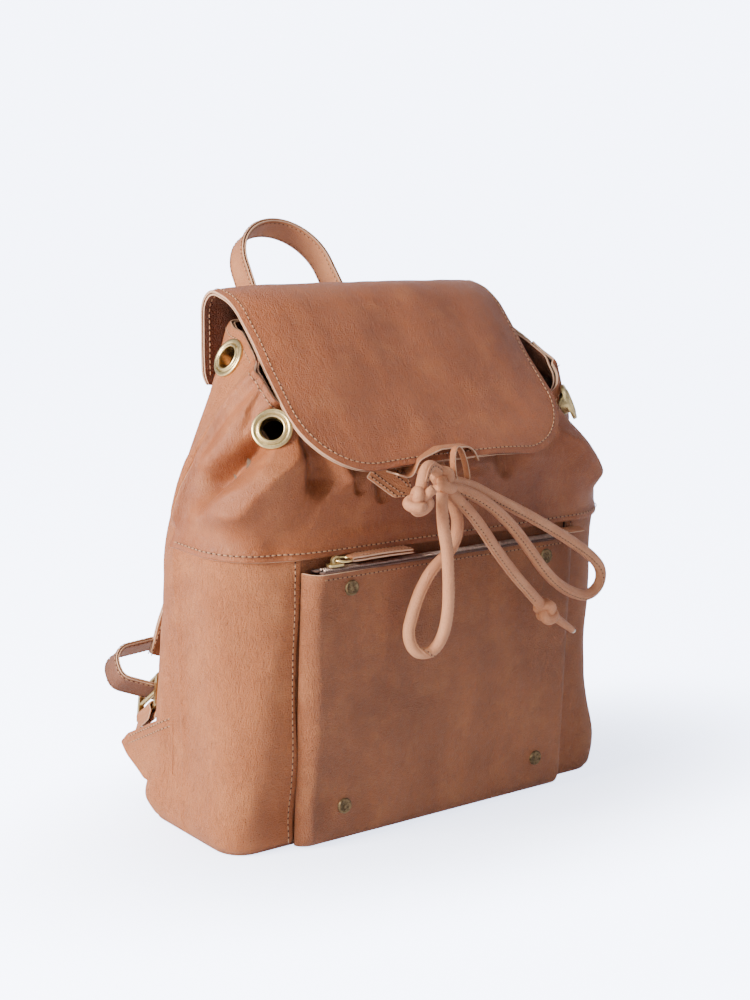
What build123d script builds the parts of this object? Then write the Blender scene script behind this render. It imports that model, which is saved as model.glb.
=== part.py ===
"""Leather drawstring backpack with a flap, a front zip pocket and two buckled shoulder straps.

Millimetres. The origin is the centre of the base, where the bag stands; +Z is up, the bag's front
faces -Y and +X is its right side seen from the front.
"""

import os
from math import cos, pi, radians, sin, tan

from build123d import *

os.makedirs("parts", exist_ok=True)

# Driving dimensions of the body
half_width = 150.0
front_y = -50.0
back_y = 48.0
seam_z = 178.0  # where the gathered yoke is sewn on the box-shaped lower body
wall = 2.2  # leather thickness of the body panels
base_thickness = 3.0
base_corner = 18.0
seam_corner = 40.0
# Side seams, as (y, z) from the floor to above the rim: the back panel wraps round to them
side_seam_line = ((0.0, 0.0), (14.0, 178.0), (10.0, 212.0), (-6.0, 290.0), (-6.0, 400.0))

# Front zip pocket
pocket_half_width = 106.0
pocket_depth = 12.0
pocket_base_z = 4.0
pocket_top_z = 168.0
pocket_wall = 2.0
rivet_half_span = 77.5
rivet_rows_z = (24.0, 158.0)

# Yoke: each section is (height, half width, front y, back y, corner radius)
yoke_sections = (
    (178.0, 150.0, -50.0, 48.0, 40.0),
    (212.0, 146.0, -52.0, 49.0, 40.0),
    (320.0, 93.5, -32.4, 54.0, 30.0),
)
# Side view of the mouth's rim, from the front wall to the back wall, as (y, z)
rim_line = ((-60.0, 240.0), (-40.0, 256.5), (-28.0, 268.0), (-10.0, 285.0), (19.0, 300.0), (80.0, 306.0))
hem_depth = 27.0

# Flap and haul handle, both hinged on the seam behind the mouth
hinge_z = 262.0
flap_half_width = 105.0
flap_line = ((58.5, 262.0), (60.0, 324.0), (20.0, 324.0), (-72.0, 230.0))  # side view, as (y, z)
flap_outer_thickness = 1.8
flap_lining_thickness = 1.4
handle_lean = 38.0
handle_seat_y = 64.0
handle_radius = 36.0
handle_leg_end = 79.0
handle_leg_start = 26.0
handle_width = 20.0

# Eyelets and drawcord
eyelet_hole_radius = 6.8
eyelet_barrel_radius = 7.6
eyelet_outer_radius = 12.0
eyelet_seat = 0.5  # the face ring's height over the leather at its middle
cord_radius = 3.6
bow_centre = (-26.0, -80.0, 219.0)
bow_radius = 9.0
front_eyelets_x = (-40.0, -12.0)

# Zip
zip_y = -57.0
zip_half_length = 98.0
slider_x = -86.0
pull_length = 50.0
pull_width = 9.0

# Shoulder strap, tail strap, buckle and wing, drawn for the left side and mirrored
strap_width = 20.0
strap_thickness = 2.6
buckle_point = (138.0, 61.0, 68.0)
buckle_wire = 1.5
buckle_pitch = 10.0
buckle_tilt = 25.0


def save(part, name):
    """Label a finished piece and write it as one STEP file."""
    part.label = name
    export_step(part, f"parts/{name}.step")


def lofted(sections, inset):
    """A form through horizontal sections, each pulled in by inset."""
    with BuildPart() as form:
        for height, half_x, y_front, y_back, corner in sections:
            with BuildSketch(Plane.XY.offset(height)):
                with Locations((0, (y_front + y_back) / 2)):
                    RectangleRounded(2 * (half_x - inset), y_back - y_front - 2 * inset, corner - inset)
        loft(ruled=True)
    return form.part


def lower_form(z_low, z_high, inset):
    """The lower body between two heights, its upright corners rounder towards the top."""
    sections = []
    for height in (z_low, z_high):
        corner = base_corner + height / seam_z * (seam_corner - base_corner)
        sections.append((height, half_width, front_y, back_y, corner))
    return lofted(sections, inset)


def rim_block(lowered):
    """Everything above the mouth's rim line, lowered by a distance."""
    points = [(y, z - lowered) for y, z in rim_line]
    with BuildPart() as block:
        with BuildSketch(Plane.YZ.offset(-200)):
            with BuildLine():
                Polyline(*points, (80, 400), (-60, 400), close=True)
            make_face()
        extrude(amount=400)
    return block.part


def seam_block(far_y, x_from, x_to):
    """The space on one side of the side seams, between two widths."""
    with BuildPart() as block:
        with BuildSketch(Plane.YZ.offset(x_from)):
            with BuildLine():
                Polyline((far_y, 0), *side_seam_line, (far_y, side_seam_line[-1][1]), close=True)
            make_face()
        extrude(amount=x_to - x_from)
    return block.part


def wall_lean(low, high):
    """Slope of a wall, sideways distance over height, between two yoke sections."""
    return (high - low) / (yoke_sections[2][0] - yoke_sections[1][0])


side_lean = wall_lean(yoke_sections[2][1], yoke_sections[1][1])
front_lean = wall_lean(yoke_sections[1][2], yoke_sections[2][2])
back_lean = wall_lean(yoke_sections[1][3], yoke_sections[2][3])
corner_lean = wall_lean(yoke_sections[2][4], yoke_sections[1][4])


def yoke_side_x(z):
    return yoke_sections[1][1] - side_lean * (z - yoke_sections[1][0])


def yoke_front_y(z):
    return yoke_sections[1][2] + front_lean * (z - yoke_sections[1][0])


def yoke_back_y(z):
    return yoke_sections[1][3] + back_lean * (z - yoke_sections[1][0])


def eyelet_planes():
    """Planes on the yoke's outer face, one at each eyelet, with +Z pointing out of the bag."""
    planes = []
    for x in front_eyelets_x:
        z = 234.0
        up = Vector(0, front_lean, 1)
        planes.append(Plane((x, yoke_front_y(z), z), x_dir=(1, 0, 0), z_dir=up.cross(Vector(-1, 0, 0))))
    for sign in (-1, 1):
        z = 284.0
        up = Vector(-sign * side_lean, 0, 1)
        normal = up.cross(Vector(0, -sign, 0))
        planes.append(Plane((sign * yoke_side_x(z), 19.0, z), x_dir=(0, 1, 0), z_dir=normal))
        z = 250.0
        corner = yoke_sections[1][4] - corner_lean * (z - yoke_sections[1][0])
        reach = corner * (1 - cos(radians(45)))
        spot = Vector(sign * (yoke_side_x(z) - reach), yoke_front_y(z) + reach, z)
        slope = (side_lean + front_lean) / 2 / cos(radians(45))
        normal = Vector(sign * cos(radians(45)), -sin(radians(45)), slope)
        planes.append(Plane(spot, x_dir=(1, sign, 0), z_dir=normal))
    for x in (-34.0, 34.0):
        z = 290.0
        up = Vector(0, back_lean, 1)
        planes.append(Plane((x, yoke_back_y(z), z), x_dir=(-1, 0, 0), z_dir=up.cross(Vector(1, 0, 0))))
    return planes


def eyelet_rods(radius):
    """Round bars through the wall at every eyelet."""
    with BuildPart() as rods:
        for plane in eyelet_planes():
            with BuildSketch(plane.offset(-9)):
                Circle(radius)
            extrude(amount=12)
    return rods.part


def strip(x_from, x_to, y_from, y_to, z_from, z_to):
    """A plain strip between two corners."""
    with BuildPart() as bar:
        with BuildSketch(Plane.XY.offset(z_from)):
            with Locations(((x_from + x_to) / 2, (y_from + y_to) / 2)):
                Rectangle(x_to - x_from, y_to - y_from)
        extrude(amount=z_to - z_from)
    return bar.part


# --- Base, front panels and back panel ----------------------------------------------------------

save(lower_form(0, base_thickness, 0), "base_panel")
save(lower_form(base_thickness, base_thickness + 2, 4), "base_board")

outer_form = lower_form(base_thickness, seam_z, 0)
inner_form = lower_form(base_thickness, seam_z, wall)

for name, x_from, x_to in (
    ("front_left_panel", -200, -pocket_half_width),
    ("front_centre_panel", -pocket_half_width, pocket_half_width),
    ("front_right_panel", pocket_half_width, 200),
):
    region = seam_block(-90, x_from, x_to)
    with BuildPart() as panel:
        add(outer_form)
        add(inner_form, mode=Mode.SUBTRACT)
        add(region, mode=Mode.INTERSECT)
    save(panel.part, name)

above_rim = rim_block(0)
above_hem = rim_block(hem_depth)
eyelet_holes = eyelet_rods(eyelet_barrel_radius + 0.1)
washer_room = eyelet_rods(eyelet_outer_radius + 1)
yoke_outer = lofted(yoke_sections, 0)
yoke_inner = lofted(yoke_sections, wall)
back_region = seam_block(90, -200, 200)

with BuildPart() as back_panel:
    add(outer_form)
    add(yoke_outer)
    for cutter in (inner_form, yoke_inner, above_rim, eyelet_holes):
        add(cutter, mode=Mode.SUBTRACT)
    add(back_region, mode=Mode.INTERSECT)
save(back_panel.part, "back_panel")

# --- Yoke, hem facing and lining ---------------------------------------------------------------

facing_thickness = 1.5
lining_inset = wall + 0.4
lining_thickness = 1.0
lining_floor_z = base_thickness + 2.0

facing_inner = lofted(yoke_sections, wall + facing_thickness)

with BuildPart() as yoke:
    add(yoke_outer)
    for cutter in (yoke_inner, above_rim, eyelet_holes, back_region):
        add(cutter, mode=Mode.SUBTRACT)
save(yoke.part, "yoke")

with BuildPart() as hem_facing:
    add(yoke_inner)
    for cutter in (facing_inner, above_rim, eyelet_holes):
        add(cutter, mode=Mode.SUBTRACT)
    add(above_hem, mode=Mode.INTERSECT)
save(hem_facing.part, "hem_facing")

lining_inner_inset = lining_inset + lining_thickness
lining_outer = [lower_form(lining_floor_z, seam_z, lining_inset), lofted(yoke_sections, lining_inset)]
lining_inner = [
    lower_form(lining_floor_z + lining_thickness, seam_z, lining_inner_inset),
    lofted(yoke_sections, lining_inner_inset),
]
with BuildPart() as lining:
    add(lining_outer)
    for cutter in (*lining_inner, above_hem, washer_room):
        add(cutter, mode=Mode.SUBTRACT)
save(lining.part, "lining")

# Strip that holds the flap, the haul handle and the shoulder straps to the back of the yoke
strip_z = (238.0, 258.0)
strip_y = 57.5
with BuildPart() as back_seam_strip:
    with BuildSketch(Plane.YZ.offset(-95)):
        with BuildLine():
            Polyline(
                (yoke_back_y(strip_z[0]), strip_z[0]),
                (strip_y, strip_z[0]),
                (strip_y, strip_z[1]),
                (yoke_back_y(strip_z[1]), strip_z[1]),
                close=True,
            )
        make_face()
    extrude(amount=190)
save(back_seam_strip.part, "back_seam_strip")

# --- Front pocket, its rivets and its zip -------------------------------------------------------

pocket_face_y = front_y - pocket_depth
rivet_spots = [(x, z) for x in (-rivet_half_span, rivet_half_span) for z in rivet_rows_z]

with BuildPart() as pocket_front:
    with BuildSketch(Plane.XY.offset(pocket_base_z)):
        with Locations((0, front_y - pocket_depth / 2)):
            Rectangle(2 * pocket_half_width, pocket_depth)
    extrude(amount=pocket_top_z - pocket_base_z)
    front_uprights = pocket_front.edges().filter_by(Axis.Z).group_by(Axis.Y)[0]
    fillet(front_uprights, radius=6)
    with BuildSketch(Plane.XY.offset(pocket_base_z + pocket_wall)):
        with Locations((0, front_y - (pocket_depth - pocket_wall) / 2)):
            Rectangle(2 * (pocket_half_width - pocket_wall), pocket_depth - pocket_wall)
    extrude(amount=pocket_top_z, mode=Mode.SUBTRACT)
    for x, z in rivet_spots:
        with BuildSketch(Plane((x, pocket_face_y, z), x_dir=(1, 0, 0), z_dir=(0, -1, 0))):
            Circle(1.3)
        extrude(amount=-2 * pocket_wall, mode=Mode.SUBTRACT)
save(pocket_front.part, "pocket_front")

with BuildPart() as rivet_caps:
    for x, z in rivet_spots:
        with BuildSketch(Plane((x, pocket_face_y, z), x_dir=(1, 0, 0), z_dir=(0, -1, 0))):
            Circle(4.8)
        extrude(amount=1.6)
    cap_rims = rivet_caps.edges().filter_by(GeomType.CIRCLE).group_by(Axis.Y)[0]
    fillet(cap_rims, radius=1.0)
save(rivet_caps.part, "rivet_caps")

with BuildPart() as rivet_posts:
    for x, z in rivet_spots:
        rivet_plane = Plane((x, pocket_face_y, z), x_dir=(1, 0, 0), z_dir=(0, 1, 0))
        with BuildSketch(rivet_plane):
            Circle(1.3)
        extrude(amount=pocket_wall)
        with BuildSketch(rivet_plane.offset(pocket_wall)):
            Circle(3.5)
        extrude(amount=0.8)
save(rivet_posts.part, "rivet_posts")

tape_thickness = 1.0
coil_base_z = pocket_top_z + tape_thickness
coil_height = 1.6
slit = 0.7  # half the gap between the two rows, in which the slider's neck runs


for name, y_from, y_to in (
    ("zip_tape_upper", zip_y + 1.2, front_y),
    ("zip_tape_lower", pocket_face_y, zip_y - 1.2),
):
    save(strip(-zip_half_length, zip_half_length, y_from, y_to, pocket_top_z, coil_base_z), name)

for name, y_from, y_to in (
    ("zip_coil_upper", zip_y + slit, zip_y + 2.9),
    ("zip_coil_lower", zip_y - 2.9, zip_y - slit),
):
    row = strip(-zip_half_length + 3, zip_half_length - 2, y_from, y_to, coil_base_z, coil_base_z + coil_height)
    save(row, name)

tab_block = strip(zip_half_length + 0.5, zip_half_length + 15, zip_y - 3, front_y, pocket_top_z, coil_base_z + 3)
with BuildPart() as zip_end_tab:
    add(tab_block)
    fillet(zip_end_tab.edges().filter_by(Axis.Z).group_by(Axis.Y)[0], radius=3)
save(zip_end_tab.part, "zip_end_tab")

plate_z = coil_base_z + coil_height + 0.4
bail_z = plate_z + 3.2
slider_neck = strip(
    slider_x - 2.5, slider_x + 2.5, zip_y - 0.4, zip_y + 0.4, pocket_top_z - 1.8, plate_z + 1
)
with BuildPart() as zip_slider:
    add(slider_neck)
    with BuildSketch(Plane.XY.offset(pocket_top_z - 1.8)):
        with Locations((slider_x, zip_y)):
            RectangleRounded(10, 5, 1.5)
    extrude(amount=1.4)
    with BuildSketch(Plane.XY.offset(plate_z)):
        with Locations((slider_x, zip_y)):
            RectangleRounded(11, 6, 2)
    extrude(amount=1.4)
    with BuildSketch(Plane.XZ.offset(-zip_y - 1)):
        with Locations((slider_x, bail_z)):
            Circle(2.9)
        with Locations((slider_x, bail_z - 1.5)):
            Rectangle(5.8, 3)
        with Locations((slider_x, bail_z)):
            Circle(1.5, mode=Mode.SUBTRACT)
    extrude(amount=2)
save(zip_slider.part, "zip_slider")

ring_radius = 5.2
with BuildPart() as zip_pull_ring:
    with BuildSketch(Plane((slider_x, zip_y, bail_z), x_dir=(1, 0, 0), z_dir=(0, 1, 0))):
        Circle(0.9)
    revolve(axis=Axis((slider_x + ring_radius, zip_y, bail_z), (0, 0, 1)))
save(zip_pull_ring.part, "zip_pull_ring")

pull_start = slider_x + 2 * ring_radius - 3
with BuildPart() as zip_pull_strap:
    with BuildSketch(Plane.XY.offset(bail_z - 1.6)):
        with Locations((pull_start + pull_length / 2, zip_y)):
            RectangleRounded(pull_length, pull_width, 2)
    extrude(amount=3.2)
save(zip_pull_strap.part, "zip_pull_strap")

# --- Eyelets --------------------------------------------------------------------------------------

with BuildPart() as eyelet_faces:
    for plane in eyelet_planes():
        with BuildSketch(plane.offset(eyelet_seat)):
            Circle(eyelet_outer_radius)
            Circle(eyelet_hole_radius, mode=Mode.SUBTRACT)
        extrude(amount=1.8)
        with BuildSketch(plane.offset(-7)):
            Circle(eyelet_barrel_radius)
            Circle(eyelet_hole_radius, mode=Mode.SUBTRACT)
        extrude(amount=7 + eyelet_seat)
    face_rims = eyelet_faces.edges().filter_by(GeomType.CIRCLE).filter_by(
        lambda edge: abs(edge.radius - eyelet_outer_radius) < 0.01
    )
    fillet(face_rims, radius=0.8)
save(eyelet_faces.part, "eyelet_faces")

with BuildPart() as eyelet_washers:
    for plane in eyelet_planes():
        with BuildSketch(plane.offset(-6.8)):
            Circle(eyelet_outer_radius - 1)
            Circle(eyelet_barrel_radius + 0.05, mode=Mode.SUBTRACT)
        extrude(amount=0.8)
save(eyelet_washers.part, "eyelet_washers")

# --- Drawcord, bow and knots ------------------------------------------------------------------------


def bend_radii(points):
    """Arc radius at each inner point: 0.45 of the shorter run over the tangent of half the turn."""
    places = [Vector(*point) for point in points]
    radii = []
    for before, here, after in zip(places, places[1:], places[2:]):
        run_in = here - before
        run_out = after - here
        turn = radians(run_in.get_angle(run_out))
        radii.append(0.45 * min(run_in.length, run_out.length) / tan(turn / 2))
    return radii


def cord(name, points, radius=cord_radius):
    """A round cord along straight runs joined by tangent arcs."""
    radii = bend_radii(points)
    with BuildPart() as tube:
        with BuildLine() as route:
            FilletPolyline(*points, radius=radii)
        with BuildSketch(Plane(origin=route.line @ 0, z_dir=route.line % 0)):
            Circle(radius)
        sweep()
    length = route.wires()[0].length
    print(name, "length", round(length, 1), "radii", [round(r, 1) for r in radii])
    print(name, "volume over section times length", round(tube.part.volume / (pi * radius**2 * length), 4))
    save(tube.part, name)


drawcord_route = (
    (-29, -73, 221),
    (-39, -59, 232),
    (-41, -35, 233),
    (-62, -29, 243),
    (-86, -19, 254),
    (-100, -2, 268),
    (-99, 18, 283),
    (-80, 33, 289),
    (-42, 38, 287),
    (2, 35, 290),
    (46, 38, 287),
    (81, 31, 288),
    (98, 16, 282),
    (99, -4, 267),
    (84, -20, 253),
    (50, -29, 243),
    (12, -30, 236),
    (-11, -37, 233),
    (-13, -59, 232),
    (-22, -73, 221),
)
cord("drawcord", drawcord_route)

loop_left_route = (
    (-26, -80, 219),
    (-14, -77, 204),
    (-8, -75, 188),
    (-12, -73, 174),
    (-25, -72, 165),
    (-34, -72, 152),
    (-40, -73, 139),
    (-44, -74, 127),
    (-40, -77, 116),
    (-28, -79, 115),
    (-22, -82, 126),
    (-22, -85, 144),
    (-24, -86, 163),
    (-27, -87, 181),
    (-32, -87, 198),
    (-29, -83, 213),
)
cord("cord_loop_left", loop_left_route)

loop_right_route = (
    (-26, -80, 220),
    (-6, -78, 216),
    (14, -77, 206),
    (38, -76, 195),
    (62, -75, 183),
    (86, -74, 170),
    (106, -73, 158),
    (117, -73, 148),
    (117, -73, 137),
    (106, -74, 131),
    (93, -76, 134),
    (76, -78, 142),
    (59, -80, 155),
    (43, -82, 172),
    (26, -83, 189),
    (6, -84, 204),
    (-12, -83, 213),
    (-26, -81, 217),
)
cord("cord_loop_right", loop_right_route)

tail_right_route = (
    (-26, -81, 217),
    (-15, -87, 205),
    (-2, -87, 192),
    (14, -85, 174),
    (32, -83, 156),
    (48, -81, 142),
    (62, -79, 130),
)
cord("cord_tail_right", tail_right_route)

tail_left_route = ((-21, -77, 213), (-28, -79, 224), (-38, -81, 231), (-47, -86, 226), (-51, -89, 214))
cord("cord_tail_left", tail_left_route)

tip_route = ((64, -79, 128), (77, -78, 120), (91, -76, 111))
cord("cord_tip_right", tip_route, 2.6)

for name, place, radius in (
    ("bow_knot", bow_centre, bow_radius),
    ("cord_knot_right", (64, -79, 128), 9.5),
    ("cord_knot_left", (-52, -89, 211), 10.0),
):
    with BuildPart() as knot:
        with BuildSketch(Plane(place, x_dir=(1, 0, 0), z_dir=(0, -1, 0))):
            Circle(radius)
            with Locations((-radius, 0)):
                Rectangle(2 * radius, 2 * radius, mode=Mode.SUBTRACT)
        revolve(axis=Axis(place, (0, 0, 1)))
    save(knot.part, name)

# Leather keeper with two tunnels, threaded on the cord in front of the mouth
keeper_y = -60.0
with BuildPart() as cord_keeper:
    with BuildSketch(Plane.XZ.offset(-keeper_y - 4)):
        with Locations((-26, 227)):
            SlotOverall(60, 13)
        with Locations(*((x, 229.5) for x in (-37, -15))):
            Circle(cord_radius + 1.6, mode=Mode.SUBTRACT)
    extrude(amount=8)
save(cord_keeper.part, "cord_keeper")

# --- Flap ---------------------------------------------------------------------------------------------


def flap_layer(name, thickness, side, inset):
    """One leather layer of the flap, on one side of the line where the two layers meet."""
    with BuildPart() as layer:
        with BuildSketch(Plane.YZ.offset(-140)):
            with BuildLine():
                FilletPolyline(*flap_line, radius=[18, 30])
                offset(amount=thickness, side=side, closed=True)
            make_face()
        extrude(amount=280)
        with BuildSketch(Plane.XY.offset(200)):
            with BuildLine():
                FilletPolyline(
                    (-flap_half_width + inset, 70),
                    (-flap_half_width - 7 + inset, flap_line[3][0]),
                    (flap_half_width - 9 - inset, flap_line[3][0]),
                    (flap_half_width - inset, 70),
                    radius=34,
                    close=False,
                )
                Line((flap_half_width - inset, 70), (-flap_half_width + inset, 70))
            make_face()
        extrude(amount=150, mode=Mode.INTERSECT)
    save(layer.part, name)


flap_layer("flap_outer", flap_outer_thickness, Side.RIGHT, 0)
flap_layer("flap_lining", flap_lining_thickness, Side.LEFT, 0.6)

# --- Haul handle ----------------------------------------------------------------------------------------

lean = radians(handle_lean)
handle_plane = Plane((0, handle_seat_y, hinge_z), x_dir=(1, 0, 0), z_dir=(0, -cos(lean), sin(lean)))


def handle_arch(inner_radius, outer_radius):
    """An arch-shaped strap layer between two radii, with straight legs."""
    with BuildPart() as arch:
        with BuildSketch(handle_plane):
            with BuildLine():
                for radius in (inner_radius, outer_radius):
                    ThreePointArc(
                        (-radius, handle_leg_end), (0, handle_leg_end + radius), (radius, handle_leg_end)
                    )
                for sign in (-1, 1):
                    Polyline(
                        (sign * inner_radius, handle_leg_end),
                        (sign * inner_radius, handle_leg_start),
                        (sign * outer_radius, handle_leg_start),
                        (sign * outer_radius, handle_leg_end),
                    )
            make_face()
        extrude(amount=handle_width / 2, both=True)
    return arch.part


outer_arch = handle_arch(handle_radius, handle_radius + 1.8)
with BuildPart() as handle_outer:
    add(outer_arch)
    with BuildSketch(handle_plane):
        with Locations(*((x, (2 + handle_leg_start) / 2) for x in (-handle_radius, handle_radius))):
            Rectangle(handle_width, handle_leg_start - 2)
    extrude(amount=1.25, both=True)
save(handle_outer.part, "handle_outer")

save(handle_arch(handle_radius - 1.4, handle_radius), "handle_lining")

# --- Shoulder straps, buckles, tail straps and wings --------------------------------------------------------

tilt_x = sin(radians(buckle_tilt))
tilt_v = cos(radians(buckle_tilt))
lower_bar = (-buckle_pitch * tilt_x, -buckle_pitch * tilt_v)
middle_bar = (0.0, 0.0)
upper_bar = (buckle_pitch * tilt_x, buckle_pitch * tilt_v)
slot_centre = (upper_bar[0] / 2, upper_bar[1] / 2)
rise = Vector(0, 0.63, 0.7766)  # direction in which the strap runs up from the wing

band_thickness = 3.5
band_top = Vector(62.0, 63.0, 256.0)
band_bottom = Vector(120.0, 76.0, 88.0)
band_half_width = 12.0
band_fall = band_top - band_bottom
band_plane = Plane((0, band_top.Y, band_top.Z), x_dir=(1, 0, 0), z_dir=(0, -band_fall.Z, band_fall.Y))
band_drop = (band_fall.Y**2 + band_fall.Z**2) ** 0.5
wing_outline = ((16.0, 72.0), (62.0, 47.0), (68.0, 40.0), (62.0, 33.0), (44.0, 24.0), (16.0, 24.0))

for side_name, sign in (("left", -1), ("right", 1)):
    inward = Vector(-sign, 0, 0)
    spot = Vector(sign * buckle_point[0], buckle_point[1], buckle_point[2])
    strap_plane = Plane(spot, x_dir=inward, z_dir=inward.cross(rise))

    with BuildPart() as strap_wing:
        with BuildSketch(Plane.YZ.offset(sign * (half_width + 0.2))):
            with BuildLine():
                Polyline(*wing_outline, close=True)
            make_face()
        extrude(amount=sign * 2.3)
    save(strap_wing.part, f"strap_wing_{side_name}")

    with BuildPart() as tail_strap:
        with BuildSketch(strap_plane):
            with Locations(lower_bar):
                Circle(4.1)
            with BuildLine():
                Polyline(
                    (lower_bar[0] - 2.2, lower_bar[1]),
                    (-11.0, -16.5),
                    (-6.8, -17.5),
                    (lower_bar[0] + 2.2, lower_bar[1]),
                    close=True,
                )
            make_face()
            with Locations(lower_bar):
                Circle(buckle_wire + 0.4, mode=Mode.SUBTRACT)
        extrude(amount=strap_width / 2, both=True)
    save(tail_strap.part, f"tail_strap_{side_name}")

    frame_half = strap_width / 2 + 2.5
    frame_x = inward * tilt_v - rise * tilt_x
    with BuildPart() as strap_buckle:
        for bar in (lower_bar, middle_bar, upper_bar):
            with BuildSketch(strap_plane):
                with Locations(bar):
                    Circle(buckle_wire)
            extrude(amount=frame_half, both=True)
        side_thickness = 2 * buckle_wire + 0.4
        side_length = 2 * buckle_pitch + side_thickness
        frame_plane = Plane(spot, x_dir=frame_x, z_dir=strap_plane.z_dir)
        for end in (-1, 1):
            with BuildSketch(frame_plane.offset(end * frame_half)):
                SlotOverall(side_length, side_thickness, rotation=90)
            extrude(amount=buckle_wire, both=True)
    save(strap_buckle.part, f"strap_buckle_{side_name}")

    with BuildPart() as shoulder_strap:
        with BuildSketch(strap_plane):
            with BuildLine():
                FilletPolyline(
                    (slot_centre[0] + 9 * tilt_v, slot_centre[1] - 9 * tilt_x),
                    (-18, slot_centre[1] + (18 + slot_centre[0]) * tilt_x / tilt_v),
                    (-18, 33),
                    (26, 36),
                    radius=8,
                )
                offset(amount=strap_thickness / 2, side=Side.BOTH)
            make_face()
        extrude(amount=strap_width / 2, both=True)
        with BuildSketch(band_plane):
            with BuildLine():
                Polyline(
                    (sign * (band_top.X - band_half_width), 0),
                    (sign * (band_top.X + band_half_width), 0),
                    (sign * (band_bottom.X + band_half_width), -band_drop + 4),
                    (sign * (band_bottom.X + band_half_width - 4), -band_drop - 4),
                    (sign * (band_bottom.X - band_half_width), -band_drop - 4),
                    close=True,
                )
            make_face()
        extrude(amount=band_thickness / 2, both=True)
    save(shoulder_strap.part, f"shoulder_strap_{side_name}")
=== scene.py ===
"""Looks of the leather drawstring backpack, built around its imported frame.

Blender works in metres. Shapes here are worked out in millimetres, in the frame's own axes, and
scaled by MM when a mesh is made: +X is the bag's right seen from the front, the front faces -Y.
"""

from math import acos, cos, exp, pi, radians, sin, sqrt, tan

import bpy
from mathutils import Matrix, Vector, noise


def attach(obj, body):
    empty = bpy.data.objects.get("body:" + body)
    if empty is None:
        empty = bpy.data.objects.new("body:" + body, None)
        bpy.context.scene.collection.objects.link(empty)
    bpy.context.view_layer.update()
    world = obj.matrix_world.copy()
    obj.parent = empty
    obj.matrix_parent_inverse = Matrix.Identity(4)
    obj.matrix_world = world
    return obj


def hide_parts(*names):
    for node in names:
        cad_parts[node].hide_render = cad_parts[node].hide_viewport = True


MM = 0.001

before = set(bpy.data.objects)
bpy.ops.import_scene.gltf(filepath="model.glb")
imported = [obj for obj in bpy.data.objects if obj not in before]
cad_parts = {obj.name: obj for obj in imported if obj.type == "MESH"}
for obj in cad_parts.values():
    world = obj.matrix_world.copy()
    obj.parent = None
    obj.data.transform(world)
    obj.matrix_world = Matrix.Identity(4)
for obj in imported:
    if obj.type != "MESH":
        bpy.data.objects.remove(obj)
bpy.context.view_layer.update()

# ---------------------------------------------------------------------------------------------
# Short calls for node trees
# ---------------------------------------------------------------------------------------------


class Nodes:
    """Short calls for building one material's node tree."""

    def __init__(self, name):
        self.material = bpy.data.materials.new(name)
        self.material.use_nodes = True
        self.tree = self.material.node_tree
        self.shader = self.tree.nodes["Principled BSDF"]
        self.coords = self.tree.nodes.new("ShaderNodeTexCoord").outputs["Object"]

    def put(self, kind, links, **values):
        """Adds a node, links its inputs and sets its values."""
        node = self.tree.nodes.new(kind)
        for key, value in values.items():
            setattr(node, key, value)
        for key, value in links.items():
            socket = node.inputs[key]
            if isinstance(value, bpy.types.NodeSocket):
                self.tree.links.new(value, socket)
            else:
                socket.default_value = value
        return node

    def stretched(self, scale):
        """Object coordinates scaled differently along each axis."""
        return self.put("ShaderNodeMapping", {"Vector": self.coords, "Scale": scale}).outputs["Vector"]

    def noise(self, where, scale, detail=3.0, roughness=0.55, distortion=0.0):
        links = {
            "Vector": where,
            "Scale": scale,
            "Detail": detail,
            "Roughness": roughness,
            "Distortion": distortion,
        }
        return self.put("ShaderNodeTexNoise", links).outputs["Fac"]

    def cells(self, where, scale, feature="DISTANCE_TO_EDGE", randomness=1.0):
        links = {"Vector": where, "Scale": scale, "Randomness": randomness}
        return self.put("ShaderNodeTexVoronoi", links, feature=feature).outputs["Distance"]

    def fit(self, value, low, high, to_low=0.0, to_high=1.0):
        """Value from one range to another, held at the ends."""
        links = {"Value": value, "From Min": low, "From Max": high, "To Min": to_low, "To Max": to_high}
        return self.put("ShaderNodeMapRange", links).outputs["Result"]

    def math(self, operation, a, b):
        return self.put("ShaderNodeMath", {0: a, 1: b}, operation=operation).outputs["Value"]

    def mix(self, factor, a, b):
        """Mix of two colours by a factor."""
        node = self.tree.nodes.new("ShaderNodeMix")
        node.data_type = "RGBA"
        for key, value in ((0, factor), (6, a), (7, b)):
            if isinstance(value, bpy.types.NodeSocket):
                self.tree.links.new(value, node.inputs[key])
            else:
                node.inputs[key].default_value = (*value, 1) if key else value
        return node.outputs[2]

    def bump(self, height, strength, distance, below=None):
        links = {"Height": height, "Strength": strength, "Distance": distance}
        if below is not None:
            links["Normal"] = below
        return self.put("ShaderNodeBump", links).outputs["Normal"]

    def wire(self, **sockets):
        """Links or sets the shader's own sockets."""
        for key, value in sockets.items():
            socket = self.shader.inputs[key.replace("_", " ")]
            if isinstance(value, bpy.types.NodeSocket):
                self.tree.links.new(value, socket)
            else:
                socket.default_value = value
        return self.material


# ---------------------------------------------------------------------------------------------
# Camera, floor and light
# ---------------------------------------------------------------------------------------------

CAMERA_AZIMUTH = radians(-38.7)
CAMERA_ELEVATION = radians(11.7)
CAMERA_ROLL = radians(2.0)
CAMERA_DISTANCE = 1.154
CAMERA_TARGET = Vector((-0.0125, 0.0, 0.192))


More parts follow.
